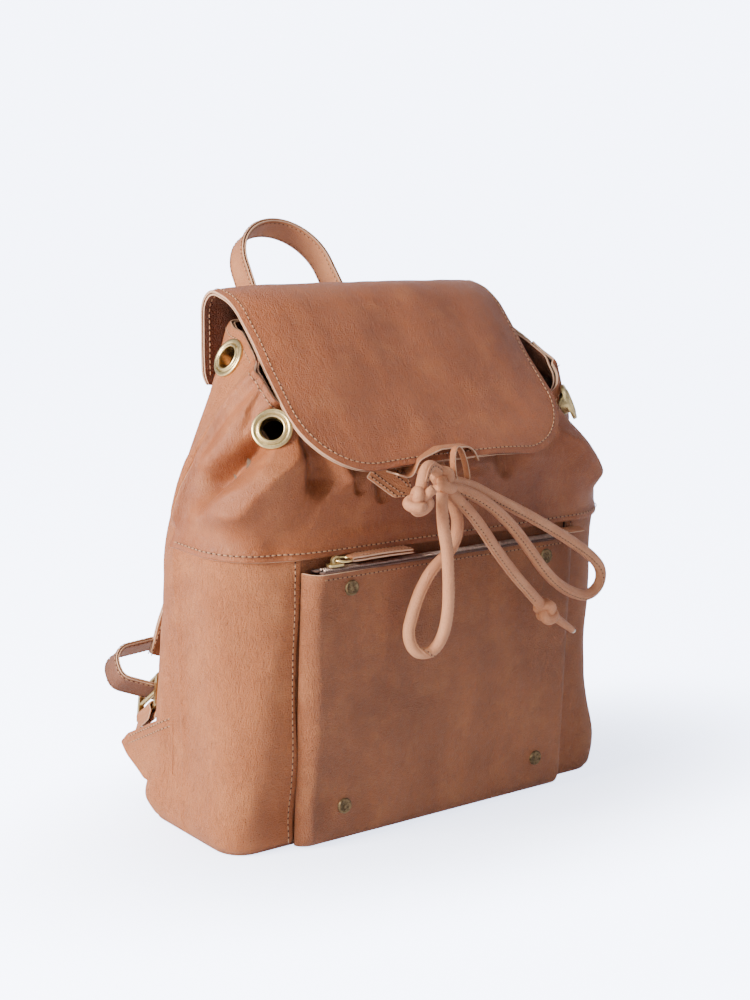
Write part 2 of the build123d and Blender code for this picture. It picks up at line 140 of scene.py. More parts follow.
def make_camera():
    """A camera at the three-quarter view, from the bag's left front."""
    back = Vector(
        (
            sin(CAMERA_AZIMUTH) * cos(CAMERA_ELEVATION),
            -cos(CAMERA_AZIMUTH) * cos(CAMERA_ELEVATION),
            sin(CAMERA_ELEVATION),
        )
    )
    right = back.cross(Vector((0, 0, 1))).normalized() * -1
    up = back.cross(right)
    right_rolled = right * cos(CAMERA_ROLL) + up * sin(CAMERA_ROLL)
    up_rolled = up * cos(CAMERA_ROLL) - right * sin(CAMERA_ROLL)
    data = bpy.data.cameras.new("camera")
    data.lens = 66.5
    data.sensor_width = 36
    camera = bpy.data.objects.new("camera", data)
    bpy.context.collection.objects.link(camera)
    turn = Matrix((right_rolled, up_rolled, back)).transposed()
    camera.matrix_world = Matrix.Translation(CAMERA_TARGET + back * CAMERA_DISTANCE) @ turn.to_4x4()
    bpy.context.scene.camera = camera


def area_light(name, place, target, size, power, colour):
    """A square soft box that faces a point."""
    data = bpy.data.lights.new(name, "AREA")
    data.size = size
    data.energy = power
    data.color = colour
    lamp = bpy.data.objects.new(name, data)
    bpy.context.collection.objects.link(lamp)
    lamp.location = place
    lamp.rotation_euler = (Vector(target) - Vector(place)).to_track_quat("-Z", "Y").to_euler()


def paper_material():
    """Pale glowing paper, with a painted contact shadow: its glow dimmer on an oval round the bag's foot."""
    n = Nodes("paper")
    seen = n.put("ShaderNodeLightPath", {}).outputs["Is Camera Ray"]
    place = n.put("ShaderNodeNewGeometry", {}).outputs["Position"]
    # Painted shadow: the glow dims on an oval round the bag's foot, set a little towards +x
    oval = {0: place, 1: (4.4, 9.0, 3.0), 2: (-0.16, 0.22, 0.0)}
    spread = n.put("ShaderNodeVectorMath", oval, operation="MULTIPLY_ADD").outputs["Vector"]
    reach = n.put("ShaderNodeVectorMath", {0: spread}, operation="LENGTH").outputs["Value"]
    painted_shadow_dimming = {"Value": reach, "From Min": 0.55, "From Max": 1.75, "To Min": 0.42, "To Max": 1.0}
    painted_contact_shadow = n.put("ShaderNodeMapRange", painted_shadow_dimming, interpolation_type="SMOOTHSTEP").outputs["Result"]
    return n.wire(
        Base_Color=(0.86, 0.87, 0.92, 1),
        Roughness=0.9,
        Emission_Color=(0.72, 0.79, 1.0, 1),
        Emission_Strength=n.math("MULTIPLY", n.fit(seen, 0.0, 1.0, 0.10, 8.2), painted_contact_shadow),
    )


def make_stage():
    """A pale floor that curves up all round into a low wall, with soft studio light."""
    flat, bend = 2.6, 1.4
    profile = [(0.0, 0.0), (0.6, 0.0), (1.5, 0.0), (flat, 0.0)]
    profile += [(flat + bend * sin(a * pi / 16), bend - bend * cos(a * pi / 16)) for a in range(1, 9)]
    profile += [(4.0, 2.4), (4.0, 3.4)]
    turns = 96
    circle = [(cos(2 * pi * k / turns), sin(2 * pi * k / turns)) for k in range(turns)]
    verts = [(r * x, r * y, z) for r, z in profile[1:] for x, y in circle]
    verts.append((0, 0, 0))
    faces = []
    for row in range(len(profile) - 2):
        for k in range(turns):
            after = (k + 1) % turns
            low, high = row * turns, (row + 1) * turns
            faces.append((low + k, low + after, high + after, high + k))
    faces += [(len(verts) - 1, (k + 1) % turns, k) for k in range(turns)]
    mesh = bpy.data.meshes.new("backdrop")
    mesh.from_pydata(verts, [], faces)
    mesh.shade_smooth()
    backdrop = bpy.data.objects.new("backdrop", mesh)
    bpy.context.collection.objects.link(backdrop)
    mesh.materials.append(paper_material())

    world = bpy.data.worlds.new("studio")
    world.use_nodes = True
    world.node_tree.nodes["Background"].inputs["Color"].default_value = (0.86, 0.89, 1.0, 1)
    world.node_tree.nodes["Background"].inputs["Strength"].default_value = 0.2
    bpy.context.scene.world = world
    area_light("key", (-1.9, 0.15, 0.95), (0, 0, 0.15), 0.8, 122, (1.0, 0.94, 0.86))
    area_light("top", (-0.4, -0.3, 2.2), (0, 0, 0.1), 1.2, 13, (1.0, 0.98, 0.96))
    area_light("fill", (1.3, -1.9, 0.9), (0, 0, 0.15), 1.4, 4.0, (1.0, 0.97, 0.95))


make_camera()
make_stage()

# ---------------------------------------------------------------------------------------------
# Materials
# ---------------------------------------------------------------------------------------------


def dim(colour, share):
    """A colour made darker."""
    return [c * share for c in colour]


def leather(name, deep, base, pale, streak=(1.0, 1.0, 0.6), grain=1.0, gloss=0.5):
    """Waxed pull-up leather: cloudy colour, long soft creases with painted shade in their valleys, a fine
    pebble and pale rubbed spots.
    """
    n = Nodes(name)
    lengthwise = n.stretched(streak)
    clouds = n.noise(n.coords, 14, 4, 0.6, 0.6)
    patches = n.noise(n.coords, 46, 4, 0.6, 0.4)
    rub = n.noise(lengthwise, 150, 5, 0.62, 0.8)
    creases = n.noise(lengthwise, 330, 6, 0.68, 1.6)
    pebble = n.cells(n.stretched((1.0, 1.0, 0.7)), 1050)
    pores = n.cells(n.coords, 2100, "F1")
    tone = n.mix(n.fit(clouds, 0.34, 0.66), deep, base)
    tone = n.mix(n.fit(patches, 0.5, 0.78, 0.0, 0.5), tone, pale)
    tone = n.mix(n.fit(rub, 0.56, 0.8, 0.0, 0.32), tone, pale)
    # Painted shade: darker where the crease noise makes the bump's valleys
    tone = n.mix(n.fit(creases, 0.5, 0.32, 0.0, 0.3), tone, dim(deep, 0.62))
    tone = n.mix(n.fit(pebble, 0.12, 0.0, 0.0, 0.22), tone, dim(deep, 0.6))
    rough = n.fit(n.math("ADD", patches, creases), 0.7, 1.3, gloss - 0.07, gloss + 0.13)
    broad = n.bump(rub, 0.6 * grain, 0.0012)
    soft = n.bump(creases, 1.0 * grain, 0.0016, broad)
    fine = n.bump(n.fit(pebble, 0.0, 0.35), 0.8 * grain, 0.0004, soft)
    finest = n.bump(pores, 0.4 * grain, 0.0002, fine)
    return n.wire(Base_Color=tone, Roughness=rough, Normal=finest, Specular_IOR_Level=0.42, Sheen_Weight=0.06)


def raw_edge(name, colour):
    """Pale cut edge of leather, matt, with the fibres of its layers."""
    n = Nodes(name)
    fibres = n.noise(n.coords, 900, 4, 0.7)
    tone = n.mix(n.fit(fibres, 0.35, 0.7), colour, dim(colour, 0.66))
    return n.wire(Base_Color=tone, Roughness=0.78, Normal=n.bump(fibres, 0.5, 0.0004))


def thread(name, colour):
    """Waxed twisted thread."""
    n = Nodes(name)
    twist = n.noise(n.coords, 2600, 2, 0.5)
    tone = n.mix(n.fit(twist, 0.3, 0.7), colour, dim(colour, 0.7))
    return n.wire(Base_Color=tone, Roughness=0.62, Normal=n.bump(twist, 0.6, 0.0002))


def metal(name, bright, dark, rough, wear):
    """Plated brass with a cloudy patina that darkens its hollows."""
    n = Nodes(name)
    patina = n.noise(n.coords, 420, 5, 0.65)
    scratches = n.noise(n.stretched((1, 1, 8)), 900, 3, 0.6)
    tone = n.mix(n.fit(patina, 0.36, 0.64, 0.0, wear), bright, dark)
    shine = n.fit(scratches, 0.3, 0.7, rough - 0.05, rough + 0.12)
    return n.wire(Base_Color=tone, Metallic=1.0, Roughness=shine, Normal=n.bump(scratches, 0.12, 0.0001))


def cloth(name, colour, scale=900):
    """Woven cotton lining or tape: two crossed ribs."""
    n = Nodes(name)
    wave = {"Vector": n.coords, "Scale": scale}
    across, down = (n.put("ShaderNodeTexWave", wave, bands_direction=axis).outputs["Fac"] for axis in "XZ")
    weave = n.math("MULTIPLY", across, down)
    fuzz = n.noise(n.coords, 700, 4, 0.7)
    tone = n.mix(n.math("MULTIPLY", weave, fuzz), dim(colour, 0.6), colour)
    return n.wire(Base_Color=tone, Roughness=0.88, Normal=n.bump(weave, 0.5, 0.0003), Sheen_Weight=0.15)


def plain(name, colour, rough):
    """Dull fibrous material for small pieces."""
    n = Nodes(name)
    mottle = n.noise(n.coords, 500, 4, 0.6)
    tone = n.mix(n.fit(mottle, 0.3, 0.7), colour, dim(colour, 0.7))
    return n.wire(Base_Color=tone, Roughness=rough, Normal=n.bump(mottle, 0.3, 0.0003))


# Painted light: a lighter copy of the wall leather, as if lit by the key lamp; on the left wrap panel, the back
# panel and the strap wings
PAINTED_LIT_LEATHER = leather(
    "leather_painted_lit", (0.33, 0.096, 0.026), (0.44, 0.142, 0.042), (0.54, 0.205, 0.074), gloss=0.56
)
# Painted shade: a darker copy of the same wall leather; on the right wrap panel, the front centre, the pocket
# and the base
PAINTED_SHADE_LEATHER = leather(
    "leather_painted_shade", (0.23, 0.068, 0.019), (0.33, 0.105, 0.032), (0.43, 0.165, 0.060), gloss=0.5
)
YOKE_LEATHER = leather(
    "leather_yoke", (0.20, 0.050, 0.012), (0.31, 0.090, 0.024), (0.44, 0.165, 0.060), (1.0, 1.0, 0.5), 0.5, 0.38
)
FLAP_LEATHER = leather(
    "leather_flap",
    (0.24, 0.064, 0.018),
    (0.345, 0.098, 0.029),
    (0.44, 0.155, 0.056),
    (1.0, 0.45, 0.45),
    grain=0.7,
    gloss=0.42,
)
STRAP_LEATHER = leather(
    "leather_strap", (0.32, 0.105, 0.036), (0.42, 0.155, 0.058), (0.50, 0.22, 0.092), (1, 1, 1), 0.6, 0.5
)
CORD_LEATHER = leather(
    "leather_cord", (0.44, 0.172, 0.078), (0.55, 0.240, 0.115), (0.64, 0.32, 0.17), (1, 1, 1), 0.5, 0.48
)
LINING_LEATHER = leather(
    "leather_lining", (0.14, 0.044, 0.018), (0.22, 0.070, 0.028), (0.29, 0.10, 0.045), (1, 1, 0.6), 0.9, 0.6
)
EDGE = raw_edge("raw_edge", (0.60, 0.36, 0.23))
DARK_EDGE = raw_edge("dark_edge", (0.30, 0.14, 0.075))
THREAD = thread("thread_pale", (0.46, 0.245, 0.135))
# Painted shade: near-black beads standing for the shade inside the needle holes
HOLE_SHADE = plain("stitch_hole_shade", (0.055, 0.022, 0.012), 0.9)
BRASS = metal("brass_bright", (0.72, 0.56, 0.27), (0.46, 0.33, 0.14), 0.28, 0.6)
ANTIQUE = metal("brass_antique", (0.24, 0.17, 0.09), (0.06, 0.04, 0.022), 0.46, 1.0)
LINING = cloth("lining_cotton", (0.22, 0.13, 0.08))
TAPE = cloth("zip_tape", (0.14, 0.055, 0.03), 1400)
COIL = metal("zip_coil", (0.62, 0.46, 0.38), (0.30, 0.20, 0.16), 0.36, 0.6)
CORE = plain("cord_core", (0.78, 0.72, 0.64), 0.9)
BOARD = plain("base_board", (0.22, 0.17, 0.12), 0.85)

# Materials of a sheet's face, back and cut edges
# The lit and the shaded sheets carry painted light and painted shade
PAINTED_LIT_SHEET = (PAINTED_LIT_LEATHER, LINING, EDGE)
PAINTED_SHADE_SHEET = (PAINTED_SHADE_LEATHER, LINING, EDGE)
STRAP_SHEET = (STRAP_LEATHER, STRAP_LEATHER, EDGE)
FACING_SHEET = (LINING_LEATHER, LINING_LEATHER, EDGE)

# ---------------------------------------------------------------------------------------------
# Mesh helpers
# ---------------------------------------------------------------------------------------------


def piece(name, mesh, body, materials):
    """Links a mesh as a piece that rides a body and stands for the CAD node of its name, if there is one."""
    for material in materials:
        mesh.materials.append(material)
    item = bpy.data.objects.new(name, mesh)
    bpy.context.collection.objects.link(item)
    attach(item, body)
    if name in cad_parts:
        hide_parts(name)
    return item


def mesh_from(name, points, faces, face_materials=None):
    """A smooth-shaded mesh from points in millimetres."""
    mesh = bpy.data.meshes.new(name)
    mesh.from_pydata([Vector(p) * MM for p in points], [], faces)
    if face_materials:
        mesh.polygons.foreach_set("material_index", face_materials)
    mesh.shade_smooth()
    mesh.validate()
    return mesh


def smooth_step(low, high, value):
    """0 below low, 1 above high, smooth between."""
    share = min(1.0, max(0.0, (value - low) / (high - low)))
    return share * share * (3 - 2 * share)


def sheet_mesh(name, front, thickness, rows, columns, closed=False, normal_side=1, skip=None):
    """A leather sheet of real thickness: its face from front(u, v), its back along the face's normals.

    The face carries material 0, the back material 1 and the cut edges material 2.
    """
    grid = [[Vector(front(c / columns, r / rows)) for c in range(columns + 1)] for r in range(rows + 1)]
    points = []
    backs = []
    for r in range(rows + 1):
        for c in range(columns + 1):
            if closed and c in (0, columns):
                across = grid[r][1] - grid[r][columns - 1]
            else:
                across = grid[r][min(c + 1, columns)] - grid[r][max(c - 1, 0)]
            down = grid[min(r + 1, rows)][c] - grid[max(r - 1, 0)][c]
            normal = across.cross(down).normalized() * normal_side
            points.append(grid[r][c])
            backs.append(grid[r][c] - normal * thickness)
    total = len(points)
    width = columns + 1
    faces = []
    marks = []
    for r in range(rows):
        for c in range(columns):
            a = r * width + c
            ring = (a, a + 1, a + 1 + width, a + width)
            if skip is not None and skip((points[a] + points[a + 1 + width]) / 2):
                continue
            faces.append(ring)
            marks.append(0)
            faces.append(tuple(total + k for k in reversed(ring)))
            marks.append(1)
    border = [c for c in range(columns)]
    border += [columns + r * width for r in range(rows)]
    border += [rows * width + c for c in range(columns, 0, -1)]
    border += [r * width for r in range(rows, 0, -1)]
    for k, here in enumerate(border):
        after = border[(k + 1) % len(border)]
        faces.append((after, here, here + total, after + total))
        marks.append(2)
    return mesh_from(name, points + backs, faces, marks)


def soft_piece(name, mesh, body, materials):
    """A piece with one level of subdivision."""
    item = piece(name, mesh, body, materials)
    modifier = item.modifiers.new("smooth", "SUBSURF")
    modifier.levels = 1
    modifier.render_levels = 1


def along(points, spacing, start=0.0):
    """Points and directions at equal spacing along a polyline."""
    points = [Vector(p) for p in points]
    lengths = [0.0]
    for a, b in zip(points, points[1:]):
        lengths.append(lengths[-1] + (b - a).length)
    result = []
    where = start
    leg = 0
    while where <= lengths[-1]:
        while leg < len(points) - 2 and lengths[leg + 1] < where:
            leg += 1
        run = points[leg + 1] - points[leg]
        share = (where - lengths[leg]) / max(run.length, 1e-9)
        result.append((points[leg] + run * share, run.normalized(), leg))
        where += spacing
    return result


def smooth_path(route):
    """The line of an order-3 NURBS spline with control points in mm; worked out in metres, given in mm."""
    points = [tuple(c * MM for c in point) for point in route]
    curve = bpy.data.curves.new("path", "CURVE")
    curve.dimensions = "3D"
    curve.resolution_u = 12
    spline = curve.splines.new("NURBS")
    spline.points.add(len(points) - 1)
    for spot, point in zip(spline.points, points):
        spot.co = (*point, 1)
    spline.order_u = 3
    spline.use_endpoint_u = True
    item = bpy.data.objects.new("path", curve)
    mesh = bpy.data.meshes.new_from_object(item)
    line = [v.co / MM for v in mesh.vertices]
    bpy.data.objects.remove(item)
    bpy.data.curves.remove(curve)
    bpy.data.meshes.remove(mesh)
    return line


class Stitches:
    """Gathers stitches and the dark beads that paint the shade in their needle holes, then makes one piece of
    each.
    """

    def __init__(self):
        self.points = []
        self.faces = []
        self.marks = []

    def bead(self, centre, along_dir, out_dir, half_length, half_width, height, mark):
        """One low rounded bead lying on a surface."""
        along_dir = along_dir.normalized()
        side = out_dir.cross(along_dir).normalized()
        out = along_dir.cross(side).normalized()
        first = len(self.points)
        stations = ((-1.0, 0.25), (-0.72, 0.85), (0.0, 1.0), (0.72, 0.85), (1.0, 0.25))
        for reach, girth in stations:
            drop = -0.55 * height * (abs(reach) ** 3)
            for k in range(6):
                angle = pi * 2 * k / 6
                self.points.append(
                    centre
                    + along_dir * reach * half_length
                    + side * cos(angle) * half_width * girth
                    + out * (sin(angle) * height * girth + drop)
                )
        for s in range(len(stations) - 1):
            for k in range(6):
                after = (k + 1) % 6
                low, high = first + s * 6, first + (s + 1) * 6
                self.faces.append((low + k, low + after, high + after, high + k))
                self.marks.append(mark)
        self.faces.append(tuple(first + k for k in reversed(range(6))))
        self.faces.append(tuple(first + 24 + k for k in range(6)))
        self.marks += [mark, mark]

    def row(self, points, normals, pitch=3.6, gauge=0.42, sink=0.0, hole=0.5):
        """A row of stitches along a line with the surface's normals, one for each point."""
        for centre, direction, leg in along(points, pitch, pitch / 2):
            out = (Vector(normals[leg]) + Vector(normals[min(leg + 1, len(normals) - 1)])).normalized()
            base = centre - out * sink
            self.bead(base, direction, out, pitch * 0.36, gauge, gauge * 0.9, 0)
            # A dark bead at the needle hole: painted shade
            self.bead(base + direction * pitch / 2, direction, out, hole * 1.05, hole, 0.16, 1)

    def make(self, name, body):
        """Makes the piece."""
        mesh = mesh_from(name, self.points, self.faces, self.marks)
        return piece(name, mesh, body, (THREAD, HOLE_SHADE))


def tube_mesh(name, line, radius_at, sides=16):
    """A tube along a line, with its ends closed; radius_at gives its radius at a share of the line."""
    line = [Vector(p) for p in line]
    points = []
    side = None
    for k, here in enumerate(line):
        ahead = line[min(k + 1, len(line) - 1)] - line[max(k - 1, 0)]
        ahead.normalize()
        if side is None:
            side = ahead.orthogonal().normalized()
        side = (side - ahead * side.dot(ahead)).normalized()
        other = ahead.cross(side)
        radius = radius_at(k / (len(line) - 1))
        for s in range(sides):
            angle = 2 * pi * s / sides
            points.append(here + (side * cos(angle) + other * sin(angle)) * radius)
    return mesh_from(name, points, tube_faces(len(line), sides))


def tube_faces(rings, sides):
    """Faces round a run of rings, with both ends closed."""
    faces = []
    for k in range(rings - 1):
        for s in range(sides):
            after = (s + 1) % sides
            low, high = k * sides, (k + 1) * sides
            faces.append((low + s, low + after, high + after, high + s))
    faces.append(tuple(reversed(range(sides))))
    faces.append(tuple(range((rings - 1) * sides, rings * sides)))
    return faces


def lathe(points, faces, marks, plane, profile, mark, turns=40):
    """Adds a turned ring or cap to lists: profile is (radius, height) pairs on a plane."""
    centre, across, up, out = plane
    first = len(points)
    for radius, height in profile:
        for k in range(turns):
            angle = 2 * pi * k / turns
            points.append(centre + across * radius * cos(angle) + up * radius * sin(angle) + out * height)
    for row in range(len(profile) - 1):
        for k in range(turns):
            after = (k + 1) % turns
            low, high = first + row * turns, first + (row + 1) * turns
            faces.append((low + k, low + after, high + after, high + k))
            marks.append(mark)


# ---------------------------------------------------------------------------------------------
# The bag's walls
# ---------------------------------------------------------------------------------------------

SEAM_Z = 178.0
WALL = 2.2
BASE_SECTION = (150.0, -50.0, 48.0, 18.0)  # half width, front y, back y, corner radius
YOKE_SECTIONS = (
    (SEAM_Z, 150.0, -50.0, 48.0, 40.0),
    (212.0, 146.0, -52.0, 49.0, 40.0),
    (320.0, 93.5, -32.4, 54.0, 30.0),
)
RIM_LINE = ((-60.0, 240.0), (-40.0, 256.5), (-28.0, 268.0), (-10.0, 285.0), (19.0, 300.0), (80.0, 306.0))
SIDE_SEAM_LINE = ((0.0, 0.0), (14.0, 178.0), (10.0, 212.0), (-6.0, 290.0), (-6.0, 400.0))
POCKET_SEAM_X = 106.0
BASE_ROUND = 6.0


def interpolate(line, value, key=0, result=1):
    """Value on a polyline given as tuples, held at its ends."""
    if value <= line[0][key]:
        return line[0][result]
    for low, high in zip(line, line[1:]):
        if value <= high[key]:
            share = (value - low[key]) / (high[key] - low[key])
            return low[result] + (high[result] - low[result]) * share
    return line[-1][result]


def plain_section(z):
    """Half width, front y, back y and corner radius of the bag's outer form at a height."""
    if z <= SEAM_Z:
        half, front, back, corner = BASE_SECTION
        return (half, front, back, corner + max(z, 0.0) / SEAM_Z * (YOKE_SECTIONS[0][4] - corner))
    low, high = YOKE_SECTIONS[:2] if z <= YOKE_SECTIONS[1][0] else YOKE_SECTIONS[1:]
    share = (z - low[0]) / (high[0] - low[0])
    return tuple(a + (b - a) * share for a, b in zip(low[1:], high[1:]))


SECTION_STEP = 2.0
SECTIONS = {}


def section(z):
    """The plain section, smoothed over some height so that the leather bends softly."""
    low = int(z // SECTION_STEP)
    for k in (low, low + 1):
        if k not in SECTIONS:
            spread = (-14.0, -7.0, 0.0, 7.0, 14.0)
            samples = [plain_section(k * SECTION_STEP + s) for s in spread]
            SECTIONS[k] = tuple(sum(values) / len(spread) for values in zip(*samples))
    share = z / SECTION_STEP - low
    return tuple(a + (b - a) * share for a, b in zip(SECTIONS[low], SECTIONS[low + 1]))


def seam_y(z):
    """Depth of the side seam at a height."""
    return interpolate(SIDE_SEAM_LINE, z, 1, 0)


def wall_point(dims, q):
    """Place and outward direction on a section, q along its outline from the front's middle."""
    half, front, back, corner = dims
    sign = 1 if q >= 0 else -1
    q = abs(q)
    flat = half - corner
    arc = corner * pi / 2
    side = back - front - 2 * corner
    if q < flat:
        x, y, nx, ny = q, front, 0.0, -1.0
    elif q < flat + arc:
        angle = (q - flat) / corner
        x, y = flat + corner * sin(angle), front + corner * (1 - cos(angle))
        nx, ny = sin(angle), -cos(angle)
    elif q < flat + arc + side:
        x, y, nx, ny = half, front + corner + q - flat - arc, 1.0, 0.0
    elif q < flat + 2 * arc + side:
        angle = (q - flat - arc - side) / corner
        x, y = flat + corner * cos(angle), back - corner + corner * sin(angle)
        nx, ny = cos(angle), sin(angle)
    else:
        x, y, nx, ny = 2 * flat + 2 * arc + side - q, back, 0.0, 1.0
    return sign * x, y, sign * nx, ny


def side_q(dims, y):
    """Distance along the outline at which the side wall reaches a depth y."""
    half, front, _, corner = dims
    flat = half - corner
    if y < front + corner:
        return flat + corner * acos(max(-1.0, 1 - (y - front) / corner))
    return flat + corner * pi / 2 + y - front - corner


def back_q(dims):
    """Distance along the outline to the middle of the back."""
    half, front, back, corner = dims
    return 2 * (half - corner) + corner * pi + back - front - 2 * corner


# Soft hollows and swellings of the leather: (centre, reach along x, y, z, height), in mm
SWELLINGS = (
    ((-140, -44, 112), (20, 22, 46), -3.4),
    ((-124, -52, 60), (26, 20, 34), 2.4),
    ((-116, -50, 20), (16, 16, 14), -1.8),
    ((-150, -16, 150), (20, 26, 26), 2.2),
    ((-150, 4, 70), (20, 14, 40), -1.6),
    ((-150, 38, 100), (26, 20, 60), 2.6),
    ((-146, 40, 16), (26, 26, 18), 6.0),
    ((-150, -20, 14), (20, 26, 16), 2.5),
    ((-150, 34, 165), (18, 22, 26), 3.0),
    ((150, -26, 84), (22, 34, 40), -6.0),
    ((148, -34, 22), (22, 22, 18), 3.4),
    ((150, 30, 110), (20, 26, 46), -4.0),
    ((150, -28, 188), (18, 26, 20), 3.4),
    ((-60, 48, 120), (60, 20, 60), 2.6),
    ((60, 48, 90), (50, 20, 50), 2.0),
    ((0, 48, 200), (70, 20, 26), -3.0),
    ((-100, 48, 60), (30, 20, 40), -2.0),
    ((105, 48, 150), (30, 20, 40), -2.4),
    ((-60, -52, 196), (26, 16, 14), 2.0),
    ((40, -52, 200), (40, 16, 18), 2.2),
)

# Folds of the gathered yoke: (points along it, half width at each end, height), a ridge where positive
FOLDS = (
    (((-110, -15, 284), (-119, -5, 267), (-130, 6, 245), (-139, 12, 227), (-149, 14, 196)), 5, 6, 4.2),
    (((-114, -24, 268), (-126, -14, 250), (-137, -5, 230)), 7, 9, 4.5),
    (((-112, -36, 257), (-124, -33, 241), (-135, -25, 228), (-145, -12, 216)), 6, 8, -13.0),
    (((-106, -42, 250), (-116, -44, 236), (-127, -42, 224), (-139, -31, 211)), 9, 12, 9.0),
    (((-137, -34, 206), (-147, -14, 200)), 10, 9, 4.0),
    (((-102, -44, 246), (-93, -49, 234), (-91, -50, 221)), 6, 9, -8.5),
    (((-96, -49, 214), (-104, -51, 200), (-120, -48, 186)), 9, 12, -3.6),
    (((-86, -48, 236), (-75, -51, 221), (-78, -52, 206)), 7, 10, 7.0),
    (((-67, -49, 228), (-64, -52, 212)), 6, 5, -6.0),
    (((-56, -50, 222), (-57, -52, 200)), 5, 6, 3.4),
    (((-50, -49, 234), (-47, -52, 206)), 6, 6, -5.0),
    (((-28, -49, 236), (-34, -52, 204)), 9, 10, 4.0),
    (((-4, -48, 236), (2, -52, 204)), 7, 8, -5.0),
    (((20, -48, 238), (24, -52, 206)), 9, 12, 4.0),
    (((44, -47, 240), (52, -52, 214)), 7, 8, -5.0),
    (((68, -46, 246), (72, -52, 212)), 10, 12, 3.0),
    (((84, -46, 250), (98, -48, 240), (112, -48, 226), (131, -43, 206)), 7, 10, 7.5),
    (((98, -38, 262), (112, -40, 248), (128, -34, 234), (140, -22, 222)), 7, 10, -7.5),
    (((110, -18, 272), (132, -10, 236), (144, -4, 208)), 9, 12, 5.0),
    (((112, 2, 276), (138, 12, 222), (148, 14, 190)), 5, 6, 4.0),
    (((110, 42, 284), (134, 40, 226)), 8, 10, -5.0),
    (((-110, 42, 284), (-136, 40, 226)), 8, 10, -5.0),
    (((-88, 50, 296), (-96, 48, 240)), 9, 9, 3.5),
    (((-60, 53, 296), (-58, 50, 250)), 8, 8, -4.0),
    (((0, 53, 296), (0, 50, 236)), 12, 12, 3.0),
    (((60, 53, 296), (58, 50, 250)), 8, 8, -4.0),
    (((88, 50, 296), (96, 48, 240)), 9, 9, 3.5),
)


def eyelet_planes():
    """Centre, across, up and outward directions at each eyelet on the plain yoke walls."""
    (low, low_half, low_front, low_back, _), (top, top_half, top_front, top_back, _) = YOKE_SECTIONS[1:]
    half_lean = (low_half - top_half) / (top - low)
    front_lean = (top_front - low_front) / (top - low)
    back_lean = (top_back - low_back) / (top - low)
    spots = []
    for x in (-40.0, -12.0):
        out = Vector((0, -1, front_lean)).normalized()
        spots.append((Vector((x, plain_section(234.0)[1], 234.0)), out))
    for sign in (-1, 1):
        dims = plain_section(284.0)
        spots.append((Vector((sign * dims[0], 19.0, 284.0)), Vector((sign, 0, half_lean)).normalized()))
        half, front, _, corner = plain_section(250.0)
        reach = corner * (1 - cos(pi / 4))
        slope = (half_lean + front_lean) / 2 / cos(pi / 4)
        out = Vector((sign * cos(pi / 4), -sin(pi / 4), slope)).normalized()
        spots.append((Vector((sign * (half - reach), front + reach, 250.0)), out))
        rear = Vector((sign * 34.0, plain_section(290.0)[2], 290.0))
        spots.append((rear, Vector((0, 1, -back_lean)).normalized()))
    planes = []
    for centre, out in spots:
        across = Vector((0, 0, 1)).cross(out).normalized()
        planes.append((centre, across, out.cross(across), out))
    return planes


EYELETS = eyelet_planes()
EYELET_HOLE = 8.8
EYELET_REACH = 14
EYELET_CALM = 13.0  # distance within which folds flatten out towards an eyelet
FOLD_STRENGTH = 1.3
FOLD_FADE = 2.6  # half widths at which a fold has died away
SWELLING_FADE = 6


def in_eyelet(point):
    """True inside an eyelet's hole through the leather."""
    for centre, _, _, out in EYELETS:
        away = point - centre
        if (away - out * away.dot(out)).length < EYELET_HOLE and abs(away.dot(out)) < EYELET_REACH:
            return True
    return False


def fold_runs():
    """Each fold as its middle, its reach, and its straight runs with the half width along them."""
    folds = []
    for points, start_width, end_width, height in FOLDS:
        spots = [Vector(p) for p in points]
        middle = (spots[0] + spots[-1]) / 2
        reach = max((p - middle).length for p in spots) + FOLD_FADE * max(start_width, end_width)
        runs = []
        for k, (start, end) in enumerate(zip(spots, spots[1:])):
            low = start_width + (end_width - start_width) * k / (len(spots) - 1)
            high = start_width + (end_width - start_width) * (k + 1) / (len(spots) - 1)
            runs.append((start, end - start, (end - start).length_squared, low, high))
        folds.append((middle, reach * reach, runs, height))
    return folds


FOLD_RUNS = fold_runs()


def relief(point):
    """Outward lift of the leather at a point on the plain walls."""
    lift = 0.0
    px, py, pz = point
    for (cx, cy, cz), (rx, ry, rz), height in SWELLINGS:
        away = ((pz - cz) / rz) ** 2
        if away < SWELLING_FADE:
            away += ((px - cx) / rx) ** 2 + ((py - cy) / ry) ** 2
            if away < SWELLING_FADE:
                lift += height * exp(-away)
    if pz > 165:
        for middle, reach, runs, height in FOLD_RUNS:
            if (point - middle).length_squared > reach:
                continue
            nearest = 9.0
            for start, run, size, low, high in runs:
                share = max(0.0, min(1.0, (point - start).dot(run) / size))
                away = (point - start - run * share).length / (low + (high - low) * share)
                nearest = min(nearest, away)
            if nearest < FOLD_FADE:
                lift += FOLD_STRENGTH * height * exp(-nearest * nearest)
        if py < -20:  # the folds flatten under the flap
            lift = min(lift, 1.5 + 9.0 * smooth_step(0, 22, 246 - pz))
    if pz > 215:
        for centre, _, _, _ in EYELETS:
            lift *= 1 - exp(-(((point - centre).length / EYELET_CALM) ** 2))
    lift += (noise.noise(point / 34.0) * 1.0 + noise.noise(point / 13.0) * 0.35) * smooth_step(0, 30, pz)
    if py < -40 and 182 < pz < 222:
        behind_pull = smooth_step(182, 192, pz) * (1 - smooth_step(210, 222, pz))
        behind_pull *= 1 - smooth_step(98, 116, abs(px))
        lift += (min(lift, -1.6) - lift) * behind_pull
    return lift


def wall_surface(q, z, lift=0.0):
    """A point on the leather's outer face."""
    dims = section(z)
    x, y, nx, ny = wall_point(dims, q)
    under = min(z, BASE_ROUND)
    tuck = BASE_ROUND - sqrt(max(0.0, BASE_ROUND**2 - (BASE_ROUND - under) ** 2))
    out = relief(Vector((x, y, z))) * smooth_step(0, 14, z) + lift - tuck
    return Vector((x + nx * out, y + ny * out, z))


RIM_STEPS = 200
RIM_HEIGHTS = []


